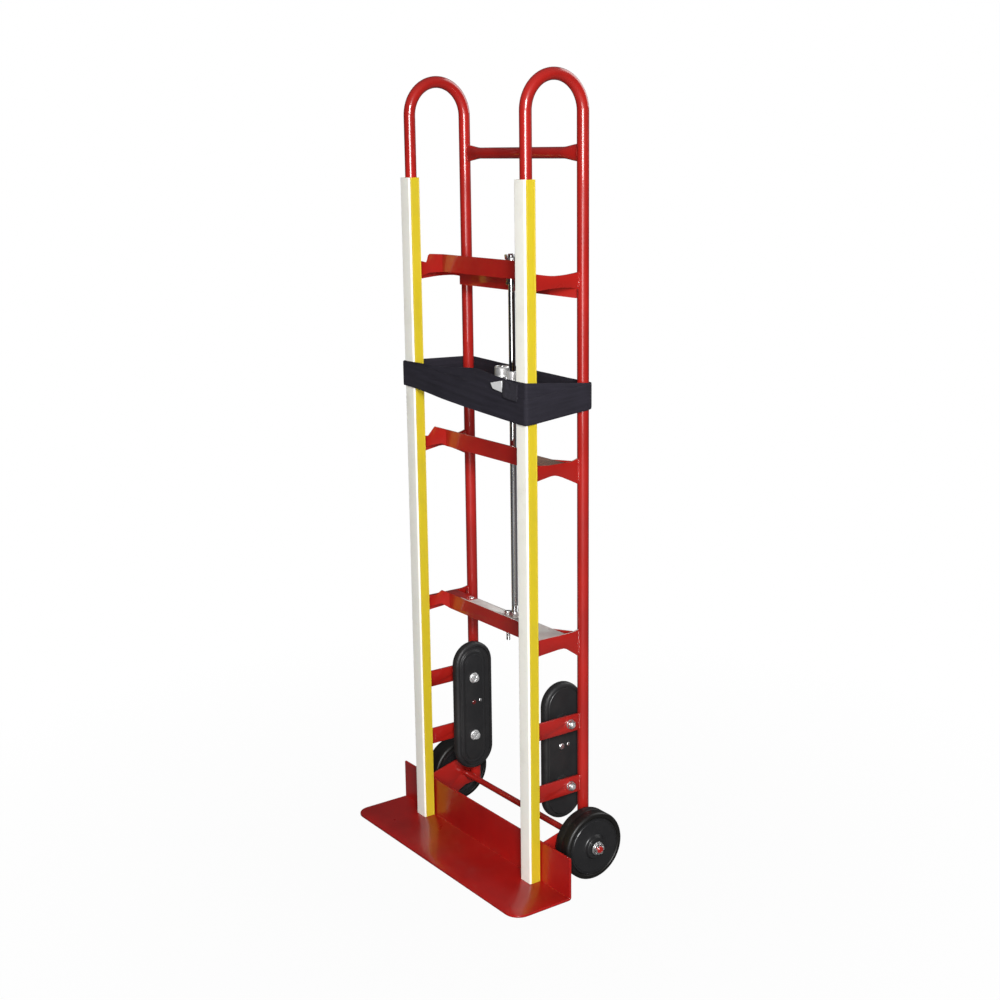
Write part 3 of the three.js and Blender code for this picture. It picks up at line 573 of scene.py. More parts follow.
for number, level in enumerate(MEMBERS):
    node = level + "_cross_member"
    piece(
        "pressed_member_" + level, cad_shape(node), MEMBER_PAINT[level], "root", "red_paint", node,
        edge=1.2 * MM, segments=3,
    )
    front, rear = ([member_top(level) + h * MM for h in ends] for ends in MEMBER_WELDS[level])
    beads = []
    for side, sign in SIDES:
        x = sign * RAIL_X
        beads += rail_weld(x, FRONT_Y, PLATE_HALF, *front, number + sign, 1)
        beads += rail_weld(x, REAR_Y, PLATE_HALF, *rear, number - sign, -1)
    red("welds_" + level, join(*beads))

# ---- bumper strips ----
strip_lo, strip_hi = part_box("bumper_face_right")
HALF_STRIP = (strip_hi.x - strip_lo.x) / 2
STRIP_FRONT = strip_lo.y
STRIP_SPLIT = strip_hi.y
STRIP_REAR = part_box("bumper_channel_right")[1].y
CORNER_R = STRIP_SPLIT - STRIP_FRONT
FACE_WALL = 2.2 * MM
SIDE_WALL = 2.6 * MM


def face_outline(x):
    """A flat front with rounded corners and two short flanks."""
    w, inner = HALF_STRIP, HALF_STRIP - SIDE_WALL
    back = STRIP_FRONT + FACE_WALL
    fillet = 0.6 * MM
    return (
        [(x + w, STRIP_SPLIT), (x + inner, STRIP_SPLIT)]
        + arc(x + inner - fillet, back + fillet, fillet, 0, -90, 4)
        + arc(x - inner + fillet, back + fillet, fillet, 270, 180, 4)
        + [(x - inner, STRIP_SPLIT), (x - w, STRIP_SPLIT)]
        + arc(x - w + CORNER_R, STRIP_FRONT + CORNER_R, CORNER_R, 180, 270, 10)
        + arc(x + w - CORNER_R, STRIP_FRONT + CORNER_R, CORNER_R, 270, 360, 10)
    )


def channel_outline(x):
    """Open at the back, with two shallow grooves down each flank."""
    gap = 0.35 * MM
    w, inner = HALF_STRIP, HALF_STRIP - SIDE_WALL - gap
    split, front = STRIP_SPLIT + gap, STRIP_FRONT + FACE_WALL + gap
    bore = TUBE_R + gap
    opening = math.degrees(math.asin((STRIP_REAR - FRONT_Y) / bore))
    groove = 0.7 * MM

    def flank(s):
        points = [(x + s * w, split)]
        for y in (split + 1.6 * MM, STRIP_REAR - 2.4 * MM):
            points += [
                (x + s * w, y - groove), (x + s * (w - groove), y - 0.3 * groove),
                (x + s * (w - groove), y + 0.3 * groove), (x + s * w, y + groove),
            ]
        return points + [(x + s * w, STRIP_REAR)]

    return (
        flank(1)
        + arc(x, FRONT_Y, bore, opening, -180 - opening, 30)
        + list(reversed(flank(-1)))
        + [(x - inner, split), (x - inner, front), (x + inner, front), (x + inner, split)]
    )


for side, sign in SIDES:
    lo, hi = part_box("bumper_face_" + side)
    x = (lo.x + hi.x) / 2
    for part, outline, paint, slot, edge in (
        ("face_", face_outline(x), WHITE, "white_strip", 0.35 * MM),
        ("channel_", channel_outline(x), YELLOW, "yellow_strip", 0.3 * MM),
    ):
        strip = prism(outline, lo.z, hi.z)
        piece("strip_" + part + side, strip, paint, "root", slot, "bumper_" + part + side, edge, limit=40)

# ---- toe plate and axle brackets ----
piece(
    "toe_plate_skin", cad_shape("toe_plate"), RED_PLATE, "root", "red_paint", "toe_plate",
    edge=1.3 * MM, segments=3,
)
flange_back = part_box("axle_bracket_right")[0].y
for side, sign in SIDES:
    node = "axle_bracket_" + side
    red("bracket_" + side, cad_shape(node), node, edge=0.9 * MM, limit=40)
    lo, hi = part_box(node)
    inside = lo.x if sign > 0 else hi.x
    foot = [(inside - sign * 0.6 * MM, flange_back + 0.5 * MM, z * MM) for z in (12, 80)]
    rail = [(inside, REAR_Y + 5 * MM, z * MM) for z in (60, 98)]
    red("weld_bracket_" + side, join(bead(foot, 2.2 * MM, 3 + sign), bead(rail, 2 * MM, 6 + sign)))


# ---- fasteners ----
WASHER_T = 2 * MM
CHAMFER = 0.58  # rise over run, 30 degrees
CROWN_SLOTS = 6


def hex_radius(across_flats):
    """A radius function that cuts a turned piece to a hexagon, as a chamfered blank is cut."""
    apothem = across_flats / 2

    def radius(r, _h, a):
        return min(r, apothem / math.cos((a % (math.pi / 3)) - math.pi / 6))

    return radius


def hex_nut(across_flats, bore, low, high, washer=0):
    """A chamfered hexagon nut, on a plain washer of that radius if one is given."""
    corner = across_flats / math.sqrt(3)
    flat = across_flats / 2 * 0.97
    c = (corner - flat) * CHAMFER
    profile = [(bore, low), (flat, low), (corner, low + c)]
    profile += [(corner, high - c), (flat, high), (bore, high)]
    body = turned(profile, 72, closed=True, radius=hex_radius(across_flats))
    if not washer:
        return body
    plate = turned(ring_profile(bore, washer, low - WASHER_T, low), 48, closed=True)
    return join(body, plate)


def castle_nut(across_flats, bore, low, high):
    """A washered nut whose crown is cut by six slots."""
    shoulder = high - 3.4 * MM
    parts = [hex_nut(across_flats, bore, low, shoulder, washer=13.4 * MM)]
    for i in range(CROWN_SLOTS):
        a = 360 * (i + 0.5) / CROWN_SLOTS
        outer = arc(0, 0, across_flats / 2 * 0.95, a - 21, a + 21, 6)
        inner = arc(0, 0, bore + 0.4 * MM, a + 16, a - 16, 4)
        parts.append(prism(outer + inner, shoulder - 0.05 * MM, high))
    return join(*parts)


def thread(radius, low, high, pitch=1.5 * MM, depth=0.55 * MM):
    """Profile points down a threaded stretch."""
    turns = int((high - low) / pitch)
    points = []
    for i in range(turns):
        h = low + i * pitch
        points += [(radius, h), (radius, h + 0.35 * pitch), (radius - depth, h + 0.65 * pitch)]
    return points + [(radius, high)]


AXLE_R = 6.35 * MM
AXLE_THREAD = 15 * MM


def axle_shape():
    """A rod threaded at both ends."""
    end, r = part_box("axle")[1].x, AXLE_R
    profile = [(0, -end), (r - MM, -end), (r, -end + MM)]
    profile += thread(r, -end + MM, -end + AXLE_THREAD)
    profile += thread(r, end - AXLE_THREAD, end - MM) + [(r - MM, end), (0, end)]
    return turned(profile, 32)


AXLE = middle("axle")
red("axle_rod", across(axle_shape(), 1, AXLE.y, AXLE.z), "axle", sharp=25)

# ---- wheels ----
HUB_IN, HUB_OUT = reach("wheel_disc_right")
TYRE_IN, TYRE_OUT = reach("wheel_tyre_right")
WHEEL_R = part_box("wheel_tyre_right")[1].z - middle("wheel_tyre_right").z
RIM_R = 57 * MM
WEBS = 8


def tyre_shape():
    """A solid tyre: rounded shoulders and a fine parting line round the tread."""
    r, a, b = RIM_R + 0.15 * MM, TYRE_IN, TYRE_OUT
    curve = 6 * MM
    flat = WHEEL_R - curve
    inner = [(r, a + 2.2 * MM), (r + MM, a + 0.8 * MM), (r + 2.2 * MM, a)]
    outer = [(r + 2.2 * MM, b), (r + MM, b - 0.8 * MM), (r, b - 2.2 * MM)]
    shoulder_in = [(q, h) for h, q in arc(a + curve, flat, curve, 180, 90, 12)]
    shoulder_out = [(q, h) for h, q in arc(b - curve, flat, curve, 90, 0, 12)]
    mid = (a + b) / 2
    line = 0.3 * MM
    tread = [(WHEEL_R, mid - 2 * line), (WHEEL_R - line, mid), (WHEEL_R, mid + 2 * line)]
    return turned(inner + shoulder_in + tread + shoulder_out + outer, 128, closed=True)


def disc_shape():
    """A tall hub boss, a dished web on the inside, a nearly flat face outside and a rim groove."""
    bore = 9.55 * MM
    face = TYRE_OUT - 1.6 * MM
    back = TYRE_IN + 2 * MM
    rim = RIM_R - 0.2 * MM
    hub_back = [(bore, HUB_IN)] + stepped(HUB_IN, (17, 0), (18, 0.8))
    web_back = stepped(back, (19.5, 3), (22, 6), (44, 6), (47, 1.5), (49, 0)) + [(rim, back)]
    lip = [(rim, face - 1.2 * MM), (rim - 0.8 * MM, face)]
    groove = stepped(face, (54.6, 0), (54, -1.4), (52.6, -1.4), (51.6, -0.3))
    web = stepped(face, (40, -0.9), (29, -0.4), (25, 0.8), (23.4, 2.4), (22.6, 4.4))
    hub = stepped(HUB_OUT, (22, -1.4), (21, -0.3), (19.8, 0), (17, 0), (16.2, -1.5))
    mouth = [(bore, HUB_OUT - 1.5 * MM)]
    return turned(hub_back + web_back + lip + groove + web + hub + mouth, 96, closed=True)


def disc_ribs():
    """Eight webs behind the disc, from the hub to the rim."""
    parts = []
    for i in range(WEBS):
        rib = prism(rounded(27 * MM, 3 * MM, 1.2 * MM), TYRE_IN + 3.5 * MM, TYRE_IN + 9 * MM)
        at(rib, 33.5 * MM, 0)
        rib.transform(Matrix.Rotation(math.tau * i / WEBS, 4, "Z"))
        parts.append(rib)
    return join(*parts)


for side, sign in SIDES:

    def on_axle(bm):
        return across(bm, sign, AXLE.y, AXLE.z)

    def wheel_part(name, bm, material, slot, replaces="", **finish):
        piece(name + side, on_axle(bm), material, "wheel_" + side, slot, replaces, **finish)

    wheel_part("tyre_", tyre_shape(), TYRE, "tyre_rubber", "wheel_tyre_" + side, sharp=40)
    wheel_part("disc_", disc_shape(), DISC, "wheel_plastic", "wheel_disc_" + side, sharp=40)
    wheel_part("disc_ribs_", disc_ribs(), DISC, "wheel_plastic")
    bush = turned(ring_profile(6.5 * MM, 9.2 * MM, HUB_IN, HUB_OUT), 40, closed=True)
    wheel_part("bush_", bush, NYLON, "nylon", "wheel_bush_" + side)
    node = "axle_spacer_" + side
    near, far = reach(node)
    profile = stepped(near, (6.7, 0), (12, 0), (13, 1)) + stepped(far, (13, -1), (12, 0), (6.7, 0))
    spacer = on_axle(turned(profile, 48, closed=True))
    piece("spacer_" + side, spacer, ZINC, "root", "zinc", node)
    node = "axle_nut_" + side
    near, far = reach(node)
    nut = on_axle(castle_nut(22 * MM, 6.6 * MM, near + WASHER_T, far))
    bright("end_nut_" + side, nut, node, edge=0.3 * MM)


# ---- crawler units ----
def racetrack(width, height, stations, wave=None):
    """Even points round a slot shape with half-round ends; wave(distance) moves them inwards."""
    r = width / 2
    run = height - width
    length = 2 * run + math.tau * r
    points = []
    for i in range(stations):
        s = length * i / stations
        inward = wave(s) if wave else 0
        q = r - inward
        if s < run:
            points.append((q, s - run / 2))
        elif s < run + math.pi * r:
            a = (s - run) / r
            points.append((q * math.cos(a), run / 2 + q * math.sin(a)))
        elif s < 2 * run + math.pi * r:
            points.append((-q, run / 2 - (s - run - math.pi * r)))
        else:
            a = (s - 2 * run - math.pi * r) / r + math.pi
            points.append((q * math.cos(a), -run / 2 + q * math.sin(a)))
    return points


def slot_loft(width, height, profile, stations, closed=False, wave=None):
    """Rings of a slot shape at (inset, height) steps, capped unless closed on itself."""
    bm = bmesh.new()
    rings = []
    for inset, h, *ripple in profile:
        use = wave if ripple else None
        points = racetrack(width - 2 * inset, height - 2 * inset, stations, use)
        rings.append([bm.verts.new((y, z, h)) for y, z in points])
    skin(bm, rings, along=closed)
    if not closed:
        cap(bm, rings)
    return bm


belt_lo, belt_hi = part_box("crawler_belt_right")
CRAWLER_AT = middle("crawler_belt_right")
BOLT_LOW, BOLT_HIGH = (middle("crawler_bolt_right_" + level) for level in LEVELS)
BOLT_Y = BOLT_LOW.y
BELT_W, BELT_H = belt_hi.y - belt_lo.y, belt_hi.z - belt_lo.z
BELT_IN, BELT_OUT = belt_lo.x, belt_hi.x
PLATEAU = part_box("crawler_core_right")[0].x
BELT_T = 9 * MM
GROOVES = 72
BOLT_FLATS = 16 * MM
BOLT_TURN = {"lower": 52, "upper": 38}  # degrees


def outward(bm, sign, y, z):
    """Turns a shape drawn in (y, z) with its height along |x| onto one side of the truck."""
    bm.transform(Matrix(((0, 0, sign, 0), (1, 0, 0, y), (0, 1, 0, z), (0, 0, 0, 1))))
    if sign < 0:
        bmesh.ops.reverse_faces(bm, faces=bm.faces)
    return bm


def belt_shape(sign):
    """An endless belt, round-edged, with shallow cross grooves moulded in its outside."""
    pitch = (2 * (BELT_H - BELT_W) + math.pi * BELT_W) / GROOVES

    def tread(s):
        t = (s / pitch) % 1
        return 0.55 * MM * min(1, max(0, (abs(t - 0.5) - 0.36) / 0.08))

    a, b, r = BELT_IN, BELT_OUT, 7.5 * MM
    turns = [math.radians(90 * i / 8) for i in range(9)]
    near = [(r - r * math.sin(t), a + r - r * math.cos(t)) for t in turns]
    far = [(q, a + b - h) for q, h in reversed(near)]
    ripple = [(*step, 1) if step[0] < 0.25 * r else step for step in near + far]
    inside = BELT_T - 0.6 * MM
    profile = [(BELT_T, a + MM), (inside, a)] + ripple + [(inside, b), (BELT_T, b - MM)]
    belt = slot_loft(BELT_W, BELT_H, profile, 8 * GROOVES, closed=True, wave=tread)
    return outward(belt, sign, CRAWLER_AT.y, CRAWLER_AT.z)


def core_shape(sign):
    """The core inside the belt, and the stepped plateau raised on its inner face."""
    gap = BELT_T + 0.35 * MM
    face = BELT_IN + 0.6 * MM
    profile = [(gap + MM, BELT_OUT), (gap, BELT_OUT - MM), (gap, face + MM), (gap + 0.8 * MM, face)]
    body = slot_loft(BELT_W, BELT_H, profile, 160)
    profile = stepped(face, (-2, 1), (-2, -0.2), (-1.2, -1), (0, -1.2), (0.6, -2.6), (1.6, -3.2))
    profile += stepped(face, (5, -3.4), (5.8, -3), (7.4, -3)) + stepped(PLATEAU, (8.4, 0.4), (9.6, 0))
    plateau = slot_loft(58 * MM, 250 * MM, profile, 160)
    return join(
        outward(body, sign, CRAWLER_AT.y, CRAWLER_AT.z),
        outward(plateau, sign, BOLT_Y + MM, CRAWLER_AT.z),
    )


def slotted_bolt(low, head_face, tip, shank):
    """A washer, a hexagon head with a screwdriver slot, and a threaded shank; heights run outboard."""
    washer = turned(stepped(head_face, (0, -2), (10, -2), (11, -1.4), (11, 0), (0, 0)), 48)
    slot_floor = low + 2.6 * MM
    corner = BOLT_FLATS / math.sqrt(3)
    under = head_face - 1.8 * MM
    block = turned(ring_profile(0, corner, slot_floor, under), 72, radius=hex_radius(BOLT_FLATS))
    halves = []
    for s in (-1, 1):
        edge = [(x, y) for x, y in circle(7.7 * MM, 72) if s * y > 1.1 * MM]
        edge.sort(key=lambda p: s * math.atan2(s * p[1], p[0]))
        halves.append(prism(edge, low, slot_floor + 0.05 * MM))
    stem = [(0, head_face)] + thread(shank, head_face, tip - MM) + [(shank - MM, tip), (0, tip)]
    return join(washer, block, *halves, turned(stem, 24))


def rivet(r, height):
    """A domed rivet head, from height 0 up."""
    turns = [math.radians(90 * i / 6) for i in range(6)]
    dome = [(r * math.cos(a), height * math.sin(a)) for a in turns]
    return turned([(0, 0)] + dome + [(0, height)], 32)


def crawler_mount(side, sign, level):
    """The bar, welds, bolt and nut that hold a crawler; returns the boss that stands on its core."""
    place = side + "_" + level
    bolt, bar = "crawler_bolt_" + place, "strap_bar_" + place
    spot = middle(bolt)
    bar_in, bar_out = reach(bar)
    near, far = reach(bolt)
    screw = slotted_bolt(near, PLATEAU - 0.35 * MM, far, 5 * MM)
    screw.transform(Matrix.Rotation(math.radians(BOLT_TURN[level]), 4, "Z"))
    screw = across(screw, sign, spot.y, spot.z)
    piece("bolt_" + place, screw, SATIN, "root", "zinc", bolt, edge=0.25 * MM)
    nut = hex_nut(BOLT_FLATS, 5.3 * MM, bar_out + 2.2 * MM, bar_out + 8 * MM, washer=9.5 * MM)
    bright("nut_" + place, across(nut, sign, spot.y, spot.z), "crawler_nut_" + place, edge=0.3 * MM)
    red("flat_bar_" + place, cad_shape(bar), bar, edge=0.9 * MM, limit=40)
    lo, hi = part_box(bar)
    ends = (lo.z + MM, hi.z - MM)
    beads = rail_weld(sign * RAIL_X, FRONT_Y, 2.5 * MM, *ends, 2 + sign, 1)
    beads += rail_weld(sign * RAIL_X, REAR_Y, 2.5 * MM, *ends, 5 + sign, -1)
    red("weld_bar_" + place, join(*beads))
    boss = stepped(BELT_OUT, (0, -1), (14, -1), (12, 2))
    boss += stepped(bar_in, (11.6, -1), (11, -0.4), (0, -0.4))
    return across(turned(boss, 40), sign, spot.y, spot.z)


for side, sign in SIDES:
    belt = belt_shape(sign)
    piece("belt_" + side, belt, BELT, "root", "crawler_rubber", "crawler_belt_" + side, sharp=38)
    core = join(core_shape(sign), *(crawler_mount(side, sign, level) for level in LEVELS))
    piece("core_" + side, core, PLASTIC, "root", "black_plastic", "crawler_core_" + side, sharp=38)
    stud_z = (BOLT_LOW.z + BOLT_HIGH.z) / 2 + 9 * MM
    inner = turned(stepped(PLATEAU, (0, 1), (4.8, 1), (4.8, -0.4), (4, -1), (0, -1)), 32)
    inner = across(inner, sign, BOLT_Y, stud_z)
    piece("stud_inner_" + side, inner, STUD_RED, "root", "red_paint")
    outer = turned(stepped(BELT_OUT, (0, -1), (6, -1), (6, 1), (4.8, 2), (0, 2)), 32)
    bright("stud_outer_" + side, across(outer, sign, BOLT_Y, stud_z))
    pins = []
    for h, r, turn in ((PLATEAU, 3.7 * MM, math.pi), (BELT_OUT, 3.8 * MM, 0)):
        pin = rivet(r, 1.8 * MM)
        pin.transform(Matrix.Rotation(turn, 4, "X"))
        pins.append(across(at(pin, 0, 0, h), sign, BOLT_Y + 16 * MM, stud_z + MM))
    bright("rivets_" + side, join(*pins))

# ---- guide rod and its nuts ----
rod_lo, rod_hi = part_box("guide_rod")
ROD = middle("guide_rod")
ROD_R = (rod_hi.x - rod_lo.x) / 2
NUT_BORE = ROD_R + 0.3 * MM
ROD_FLATS = 19 * MM
FOOT_FLATS = 13 * MM
profile = [(0, rod_lo.z), (ROD_R - MM, rod_lo.z)]
profile += thread(ROD_R, rod_lo.z + MM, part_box("rod_foot_nut")[1].z + 12 * MM)
profile += thread(ROD_R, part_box("rod_upper_collar")[0].z - 14 * MM, rod_hi.z - MM)
profile += [(ROD_R - MM, rod_hi.z), (0, rod_hi.z)]
rod = at(turned(profile, 32), ROD.x, ROD.y)
piece("rod_guide", rod, CHROME, "root", "chrome", "guide_rod", sharp=25)
for node, washer in (("rod_top_nut", 13 * MM), ("rod_foot_nut", 0), ("rod_lock_nut", 0)):
    lo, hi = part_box(node)
    low = lo.z + WASHER_T if washer else lo.z
    nut = hex_nut(ROD_FLATS, NUT_BORE, low, hi.z, washer)
    bright(node + "_hex", at(nut, ROD.x, ROD.y), node, edge=0.3 * MM)
bright("wing_nut", cad_shape("rod_wing_nut"), "rod_wing_nut", edge=0.9 * MM, segments=3, limit=25)
lo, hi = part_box("rod_upper_collar")
r = (hi.x - lo.x) / 2
neck = r - 0.8 * MM
profile = [(NUT_BORE, lo.z), (r - MM, lo.z), (r, lo.z + MM), (r, lo.z + 5 * MM), (neck, lo.z + 5.6 * MM)]
profile += [(neck, hi.z - 4.6 * MM), (r, hi.z - 4 * MM), (r, hi.z - 0.6 * MM), (r - 0.6 * MM, hi.z)]
collar = turned(profile + [(NUT_BORE, hi.z)], 48, closed=True)
piece("collar_upper", at(collar, ROD.x, ROD.y), CHROME, "root", "chrome", "rod_upper_collar")

lo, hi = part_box("foot_bolt")
spot = middle("foot_bolt")
low = hi.z - 8 * MM
corner = FOOT_FLATS / math.sqrt(3)
profile = [(0, low), (corner, low), (corner, hi.z - MM), (6.3 * MM, hi.z), (0, hi.z)]
head = turned(profile, 72, radius=hex_radius(FOOT_FLATS))
profile = [(0, lo.z), (3 * MM, lo.z)] + thread(4 * MM, lo.z + MM, low) + [(0, low)]
bolt = at(join(head, turned(profile, 24)), spot.x, spot.y)
bright("bolt_foot", bolt, "foot_bolt", edge=0.3 * MM)
rivet_z = member_top("lower") - 0.1 * MM
bright("plate_rivet", at(rivet(5 * MM, 2.6 * MM), -115 * MM, FRONT_Y + 76 * MM, rivet_z))

# ---- strap tightener ----
SPOOL = middle("spool_shaft")
for name, node, material, body, edge, limit in (
    ("carriage", "carriage_bracket", PALE_ZINC, "strap_carriage", 0.6, 40),
    ("spool_pin", "spool_shaft", ZINC, "tightener_spool", 0.6, 40),
    ("ratchet", "ratchet_wheel", ZINC, "tightener_spool", 0.35, 20),
    ("pawl_plate", "ratchet_pawl", ZINC, "pawl", 0.5, 40),
    ("lever_arm", "ratchet_lever", ZINC, "lever", 0.8, 40),
):
    piece(name, cad_shape(node), material, body, "zinc", node, edge=edge * MM, limit=limit)


def knob_shape(node):
    """A knurled drum with a dished top."""
    lo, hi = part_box(node)
    r = (hi.x - lo.x) / 2
    bore, rows, ridges = 5.35 * MM, 9, 36

    def knurl(q, h, a):
        if not lo.z + 2.5 * MM < h < hi.z - 2.5 * MM:
            return q
        turn = round((h - lo.z) / (1.9 * MM)) % 2
        return q - 0.55 * MM * (0.5 + 0.5 * math.cos(ridges * a + math.pi * turn))

    foot = [(bore, lo.z), (r - 1.4 * MM, lo.z)]
    sides = [(r, lo.z + 2 * MM + (hi.z - lo.z - 4 * MM) * i / rows) for i in range(rows + 1)]
    rim = [(r - 1.6 * MM, hi.z), (r - 3 * MM, hi.z)]
    dish = [(r - 4 * MM, hi.z - 0.8 * MM), (bore, hi.z - 0.8 * MM)]
    drum = turned(foot + sides + rim + dish, 6 * ridges, closed=True, radius=knurl)
    return at(drum, SPOOL.x, SPOOL.y)


knob = knob_shape("tightener_knob")
piece("knob", knob, KNURLED, "tightener_spool", "chrome", "tightener_knob", sharp=30)


def grip_shape(node):
    """A moulded grip with finger ribs, narrowing towards the lever's hub."""
    lo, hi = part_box(node)
    bm = bmesh.new()
    rings = []
    stations, bulges = 60, 6
    x, z = (lo.x + hi.x) / 2, (lo.z + hi.z) / 2
    for i in range(stations + 1):
        t = i / stations
        y = lo.y + (hi.y - lo.y) * t
        near_end = min(1, 14 * min(t, 1 - t))
        k = 0.55 + 0.45 * math.sqrt(1 - (1 - near_end) ** 2)
        rib = 0.94 + 0.06 * math.cos(t * math.tau * bulges)
        w, h = (hi.x - lo.x) * k * (0.86 + 0.14 * t) * rib, (hi.z - lo.z) * k * rib
        rings.append([bm.verts.new((x + a, y, z + b)) for a, b in rounded(w, h, 0.38 * h, 5)])
    skin(bm, rings)
    cap(bm, rings)
    return bm


piece("grip", grip_shape("lever_grip"), PLASTIC, "lever", "black_plastic", "lever_grip", sharp=50)


# ---- webbing ----
WEB_W = 48 * MM
WEB_T = 2 * MM
THIN = 1.9 * MM


def ribbon(
    name, points, width, thickness, material, body, replaces, *, drop, closed=False, shift=None, rows=21
):
    """A strap standing on edge along plan points: a woven band with soft selvedges.

    drop(i) gives the lower edge's height at point i; shift(i, v) pushes the cloth sideways there,
    at share v of its width.
    """
    bm = bmesh.new()
    uv = bm.loops.layers.uv.new("strap")
    plan = [Vector((x, y, 0)) for x, y in points]
    n = len(plan)
    length, run = [0.0], 0.0
    for a, b in zip(plan, plan[1:]):
        run += (b - a).length
        length.append(run)
    normals = []
    for i, p in enumerate(plan):
        ahead = plan[(i + 1) % n] if closed or i < n - 1 else p
        behind = plan[i - 1] if closed or i else p
        t = (ahead - behind).normalized()
        normals.append(Vector((t.y, -t.x, 0)))
    loops = []
    for i, p in enumerate(plan):
        ring = []
        low = drop(i)
        for face in (1, -1):
            order = range(rows) if face > 0 else range(rows - 1, -1, -1)
            for j in order:
                v = j / (rows - 1)
                selvedge = 1 - 0.45 * (abs(2 * v - 1) ** 12)
                half = thickness / 2 * selvedge
                push = shift(i, v) if shift else 0
                q = p + normals[i] * (face * half + push)
                ring.append((bm.verts.new((q.x, q.y, low + width * v)), v, face))
        loops.append(ring)
    pairs = [(i, i + 1) for i in range(n - 1)] + ([(n - 1, 0)] if closed else [])
    total = length[-1] + ((plan[0] - plan[-1]).length if closed else 0)
    m = 2 * rows
    for i, k in pairs:
        s0, s1 = length[i], length[k] if k else total
        for j in range(m):
            g = (j + 1) % m
            corners = ((loops[i][j], s0), (loops[k][j], s1), (loops[k][g], s1), (loops[i][g], s0))
            face = bm.faces.new([c[0][0] for c in corners])
            for loop, (vert, s) in zip(face.loops, corners):
                loop[uv].uv = (s, vert[1] * width)
    if not closed:
        for ring in (loops[0], loops[-1]):
            bm.faces.new([v[0] for v in ring])
    piece(name, bm, material, body, "webbing", replaces, sharp=60)


def strap_plan(clearance):
    """The taut line round both strips and both rear rails, as evenly spread plan points."""
    edge = RAIL_X + HALF_STRIP
    front = (edge - CORNER_R, STRIP_FRONT + CORNER_R, CORNER_R + clearance)
    mid = (edge - MM, STRIP_REAR - MM, MM + clearance)
    rear = (RAIL_X, REAR_Y, TUBE_R + clearance)
    apart = math.hypot(mid[0] - rear[0], mid[1] - rear[1])
    lean = math.atan2(mid[1] - rear[1], mid[0] - rear[0])
    slope = math.degrees(math.acos((rear[2] - mid[2]) / apart) + lean)
    corners = []
    for (x, y, r), a0, a1, n in ((front, -90, 0, 8), (mid, 0, slope, 2), (rear, slope, 90, 10)):
        corners.append([Vector(p) for p in arc(x, y, r, a0, a1, n)])
    first, second, third = corners
    right = first + spread(first[-1], second[0], 6) + second
    right += spread(second[-1], third[0], 24) + third
    left = [Vector((-p.x, p.y)) for p in reversed(right)]
    rear_run = spread(right[-1], left[0], 90)
    front_run = spread(left[-1], right[0], 90)
    return right + rear_run + left + front_run


def spread(a, b, steps):
    return [a.lerp(b, i / steps) for i in range(1, steps)]


def strap_low(corners, lift):
    """The lower edge runs straight between corner heights in mm; lift raises it by the tightener."""

    def low(p):
        u = min(max((p.x / RAIL_X + 1) / 2, 0), 1)
        v = min(max((p.y - STRIP_FRONT) / (REAR_Y + TUBE_R - STRIP_FRONT), 0), 1)
        front = corners["front_left"] + (corners["front_right"] - corners["front_left"]) * u
        rear = corners["rear_left"] + (corners["rear_right"] - corners["rear_left"]) * u
        front += lift * math.exp(-(((u - LIFT_AT) / LIFT_SPREAD) ** 2))
        return (front + (rear - front) * v) * MM

    return low


def slack(p, height, v):
    """How far the cloth stands off its taut line: nothing at the corners, long soft folds between."""
    if STRIP_SPLIT < p.y < REAR_Y:
        return 0.3 * MM * noise.noise(Vector((p.y * 12, v * 4, 4)))
    seed, inward = (1.7, -1.0) if p.y < 0 else (8.3, -0.4)
    folds = 0
    for share, along, up, shift in FOLDS:
        folds += share * noise.noise(Vector((p.x * along, v * up, seed + shift)))
    u = p.x / RAIL_X
    lean = (height - 0.955) * 0.16 * math.sin(math.pi * min(1, max(0, (u + 1) / 2)))
    return max(0, 1 - u**4) * (3.4 * MM * folds + inward * (1.8 * MM + lean))


def strap_turn(name, node, clearance, corners, lift):
    plan = strap_plan(clearance + WEB_T / 2)
    low = strap_low(corners, lift)
    lows = [low(p) for p in plan]
    ribbon(
        name, plan, WEB_W, WEB_T, CLOTH, "strap_carriage", node, closed=True,
        drop=lambda i: lows[i], shift=lambda i, v: slack(plan[i], lows[i] + WEB_W * v, v),
    )


# Each fold's share, turns along and up the cloth, and seed.
FOLDS = ((1, 5, 3.2, 0), (0.6, 11, 7, 3), (0.28, 4, 10, 7), (0.16, 34, 5, 11))
LIFT_AT, LIFT_SPREAD = 0.58, 0.18  # shares of the front run, from the left
INNER = {"front_left": 930, "front_right": 932, "rear_left": 926, "rear_right": 917}
OUTER = {"front_left": 929, "front_right": 903, "rear_left": 922, "rear_right": 917}
strap_turn("strap_inner", "strap_inner_turn", 0.5 * MM, INNER, 8)
strap_turn("strap_outer", "strap_outer_turn", 0.5 * MM + WEB_T + 0.4 * MM, OUTER, 0)

lead_lo, lead_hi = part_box("strap_lead")
lead = []
for i in range(31):
    t = i / 30
    x = (lead_lo.x + lead_hi.x) / 2 + 0.6 * MM * math.sin(t * 5)
    lead.append(Vector((x, lead_lo.y + (lead_hi.y - lead_lo.y) * t)))
ribbon(
    "lead", lead, lead_hi.z - lead_lo.z, THIN, CLOTH, "strap_carriage", "strap_lead",
    drop=lambda i: lead_lo.z,
)


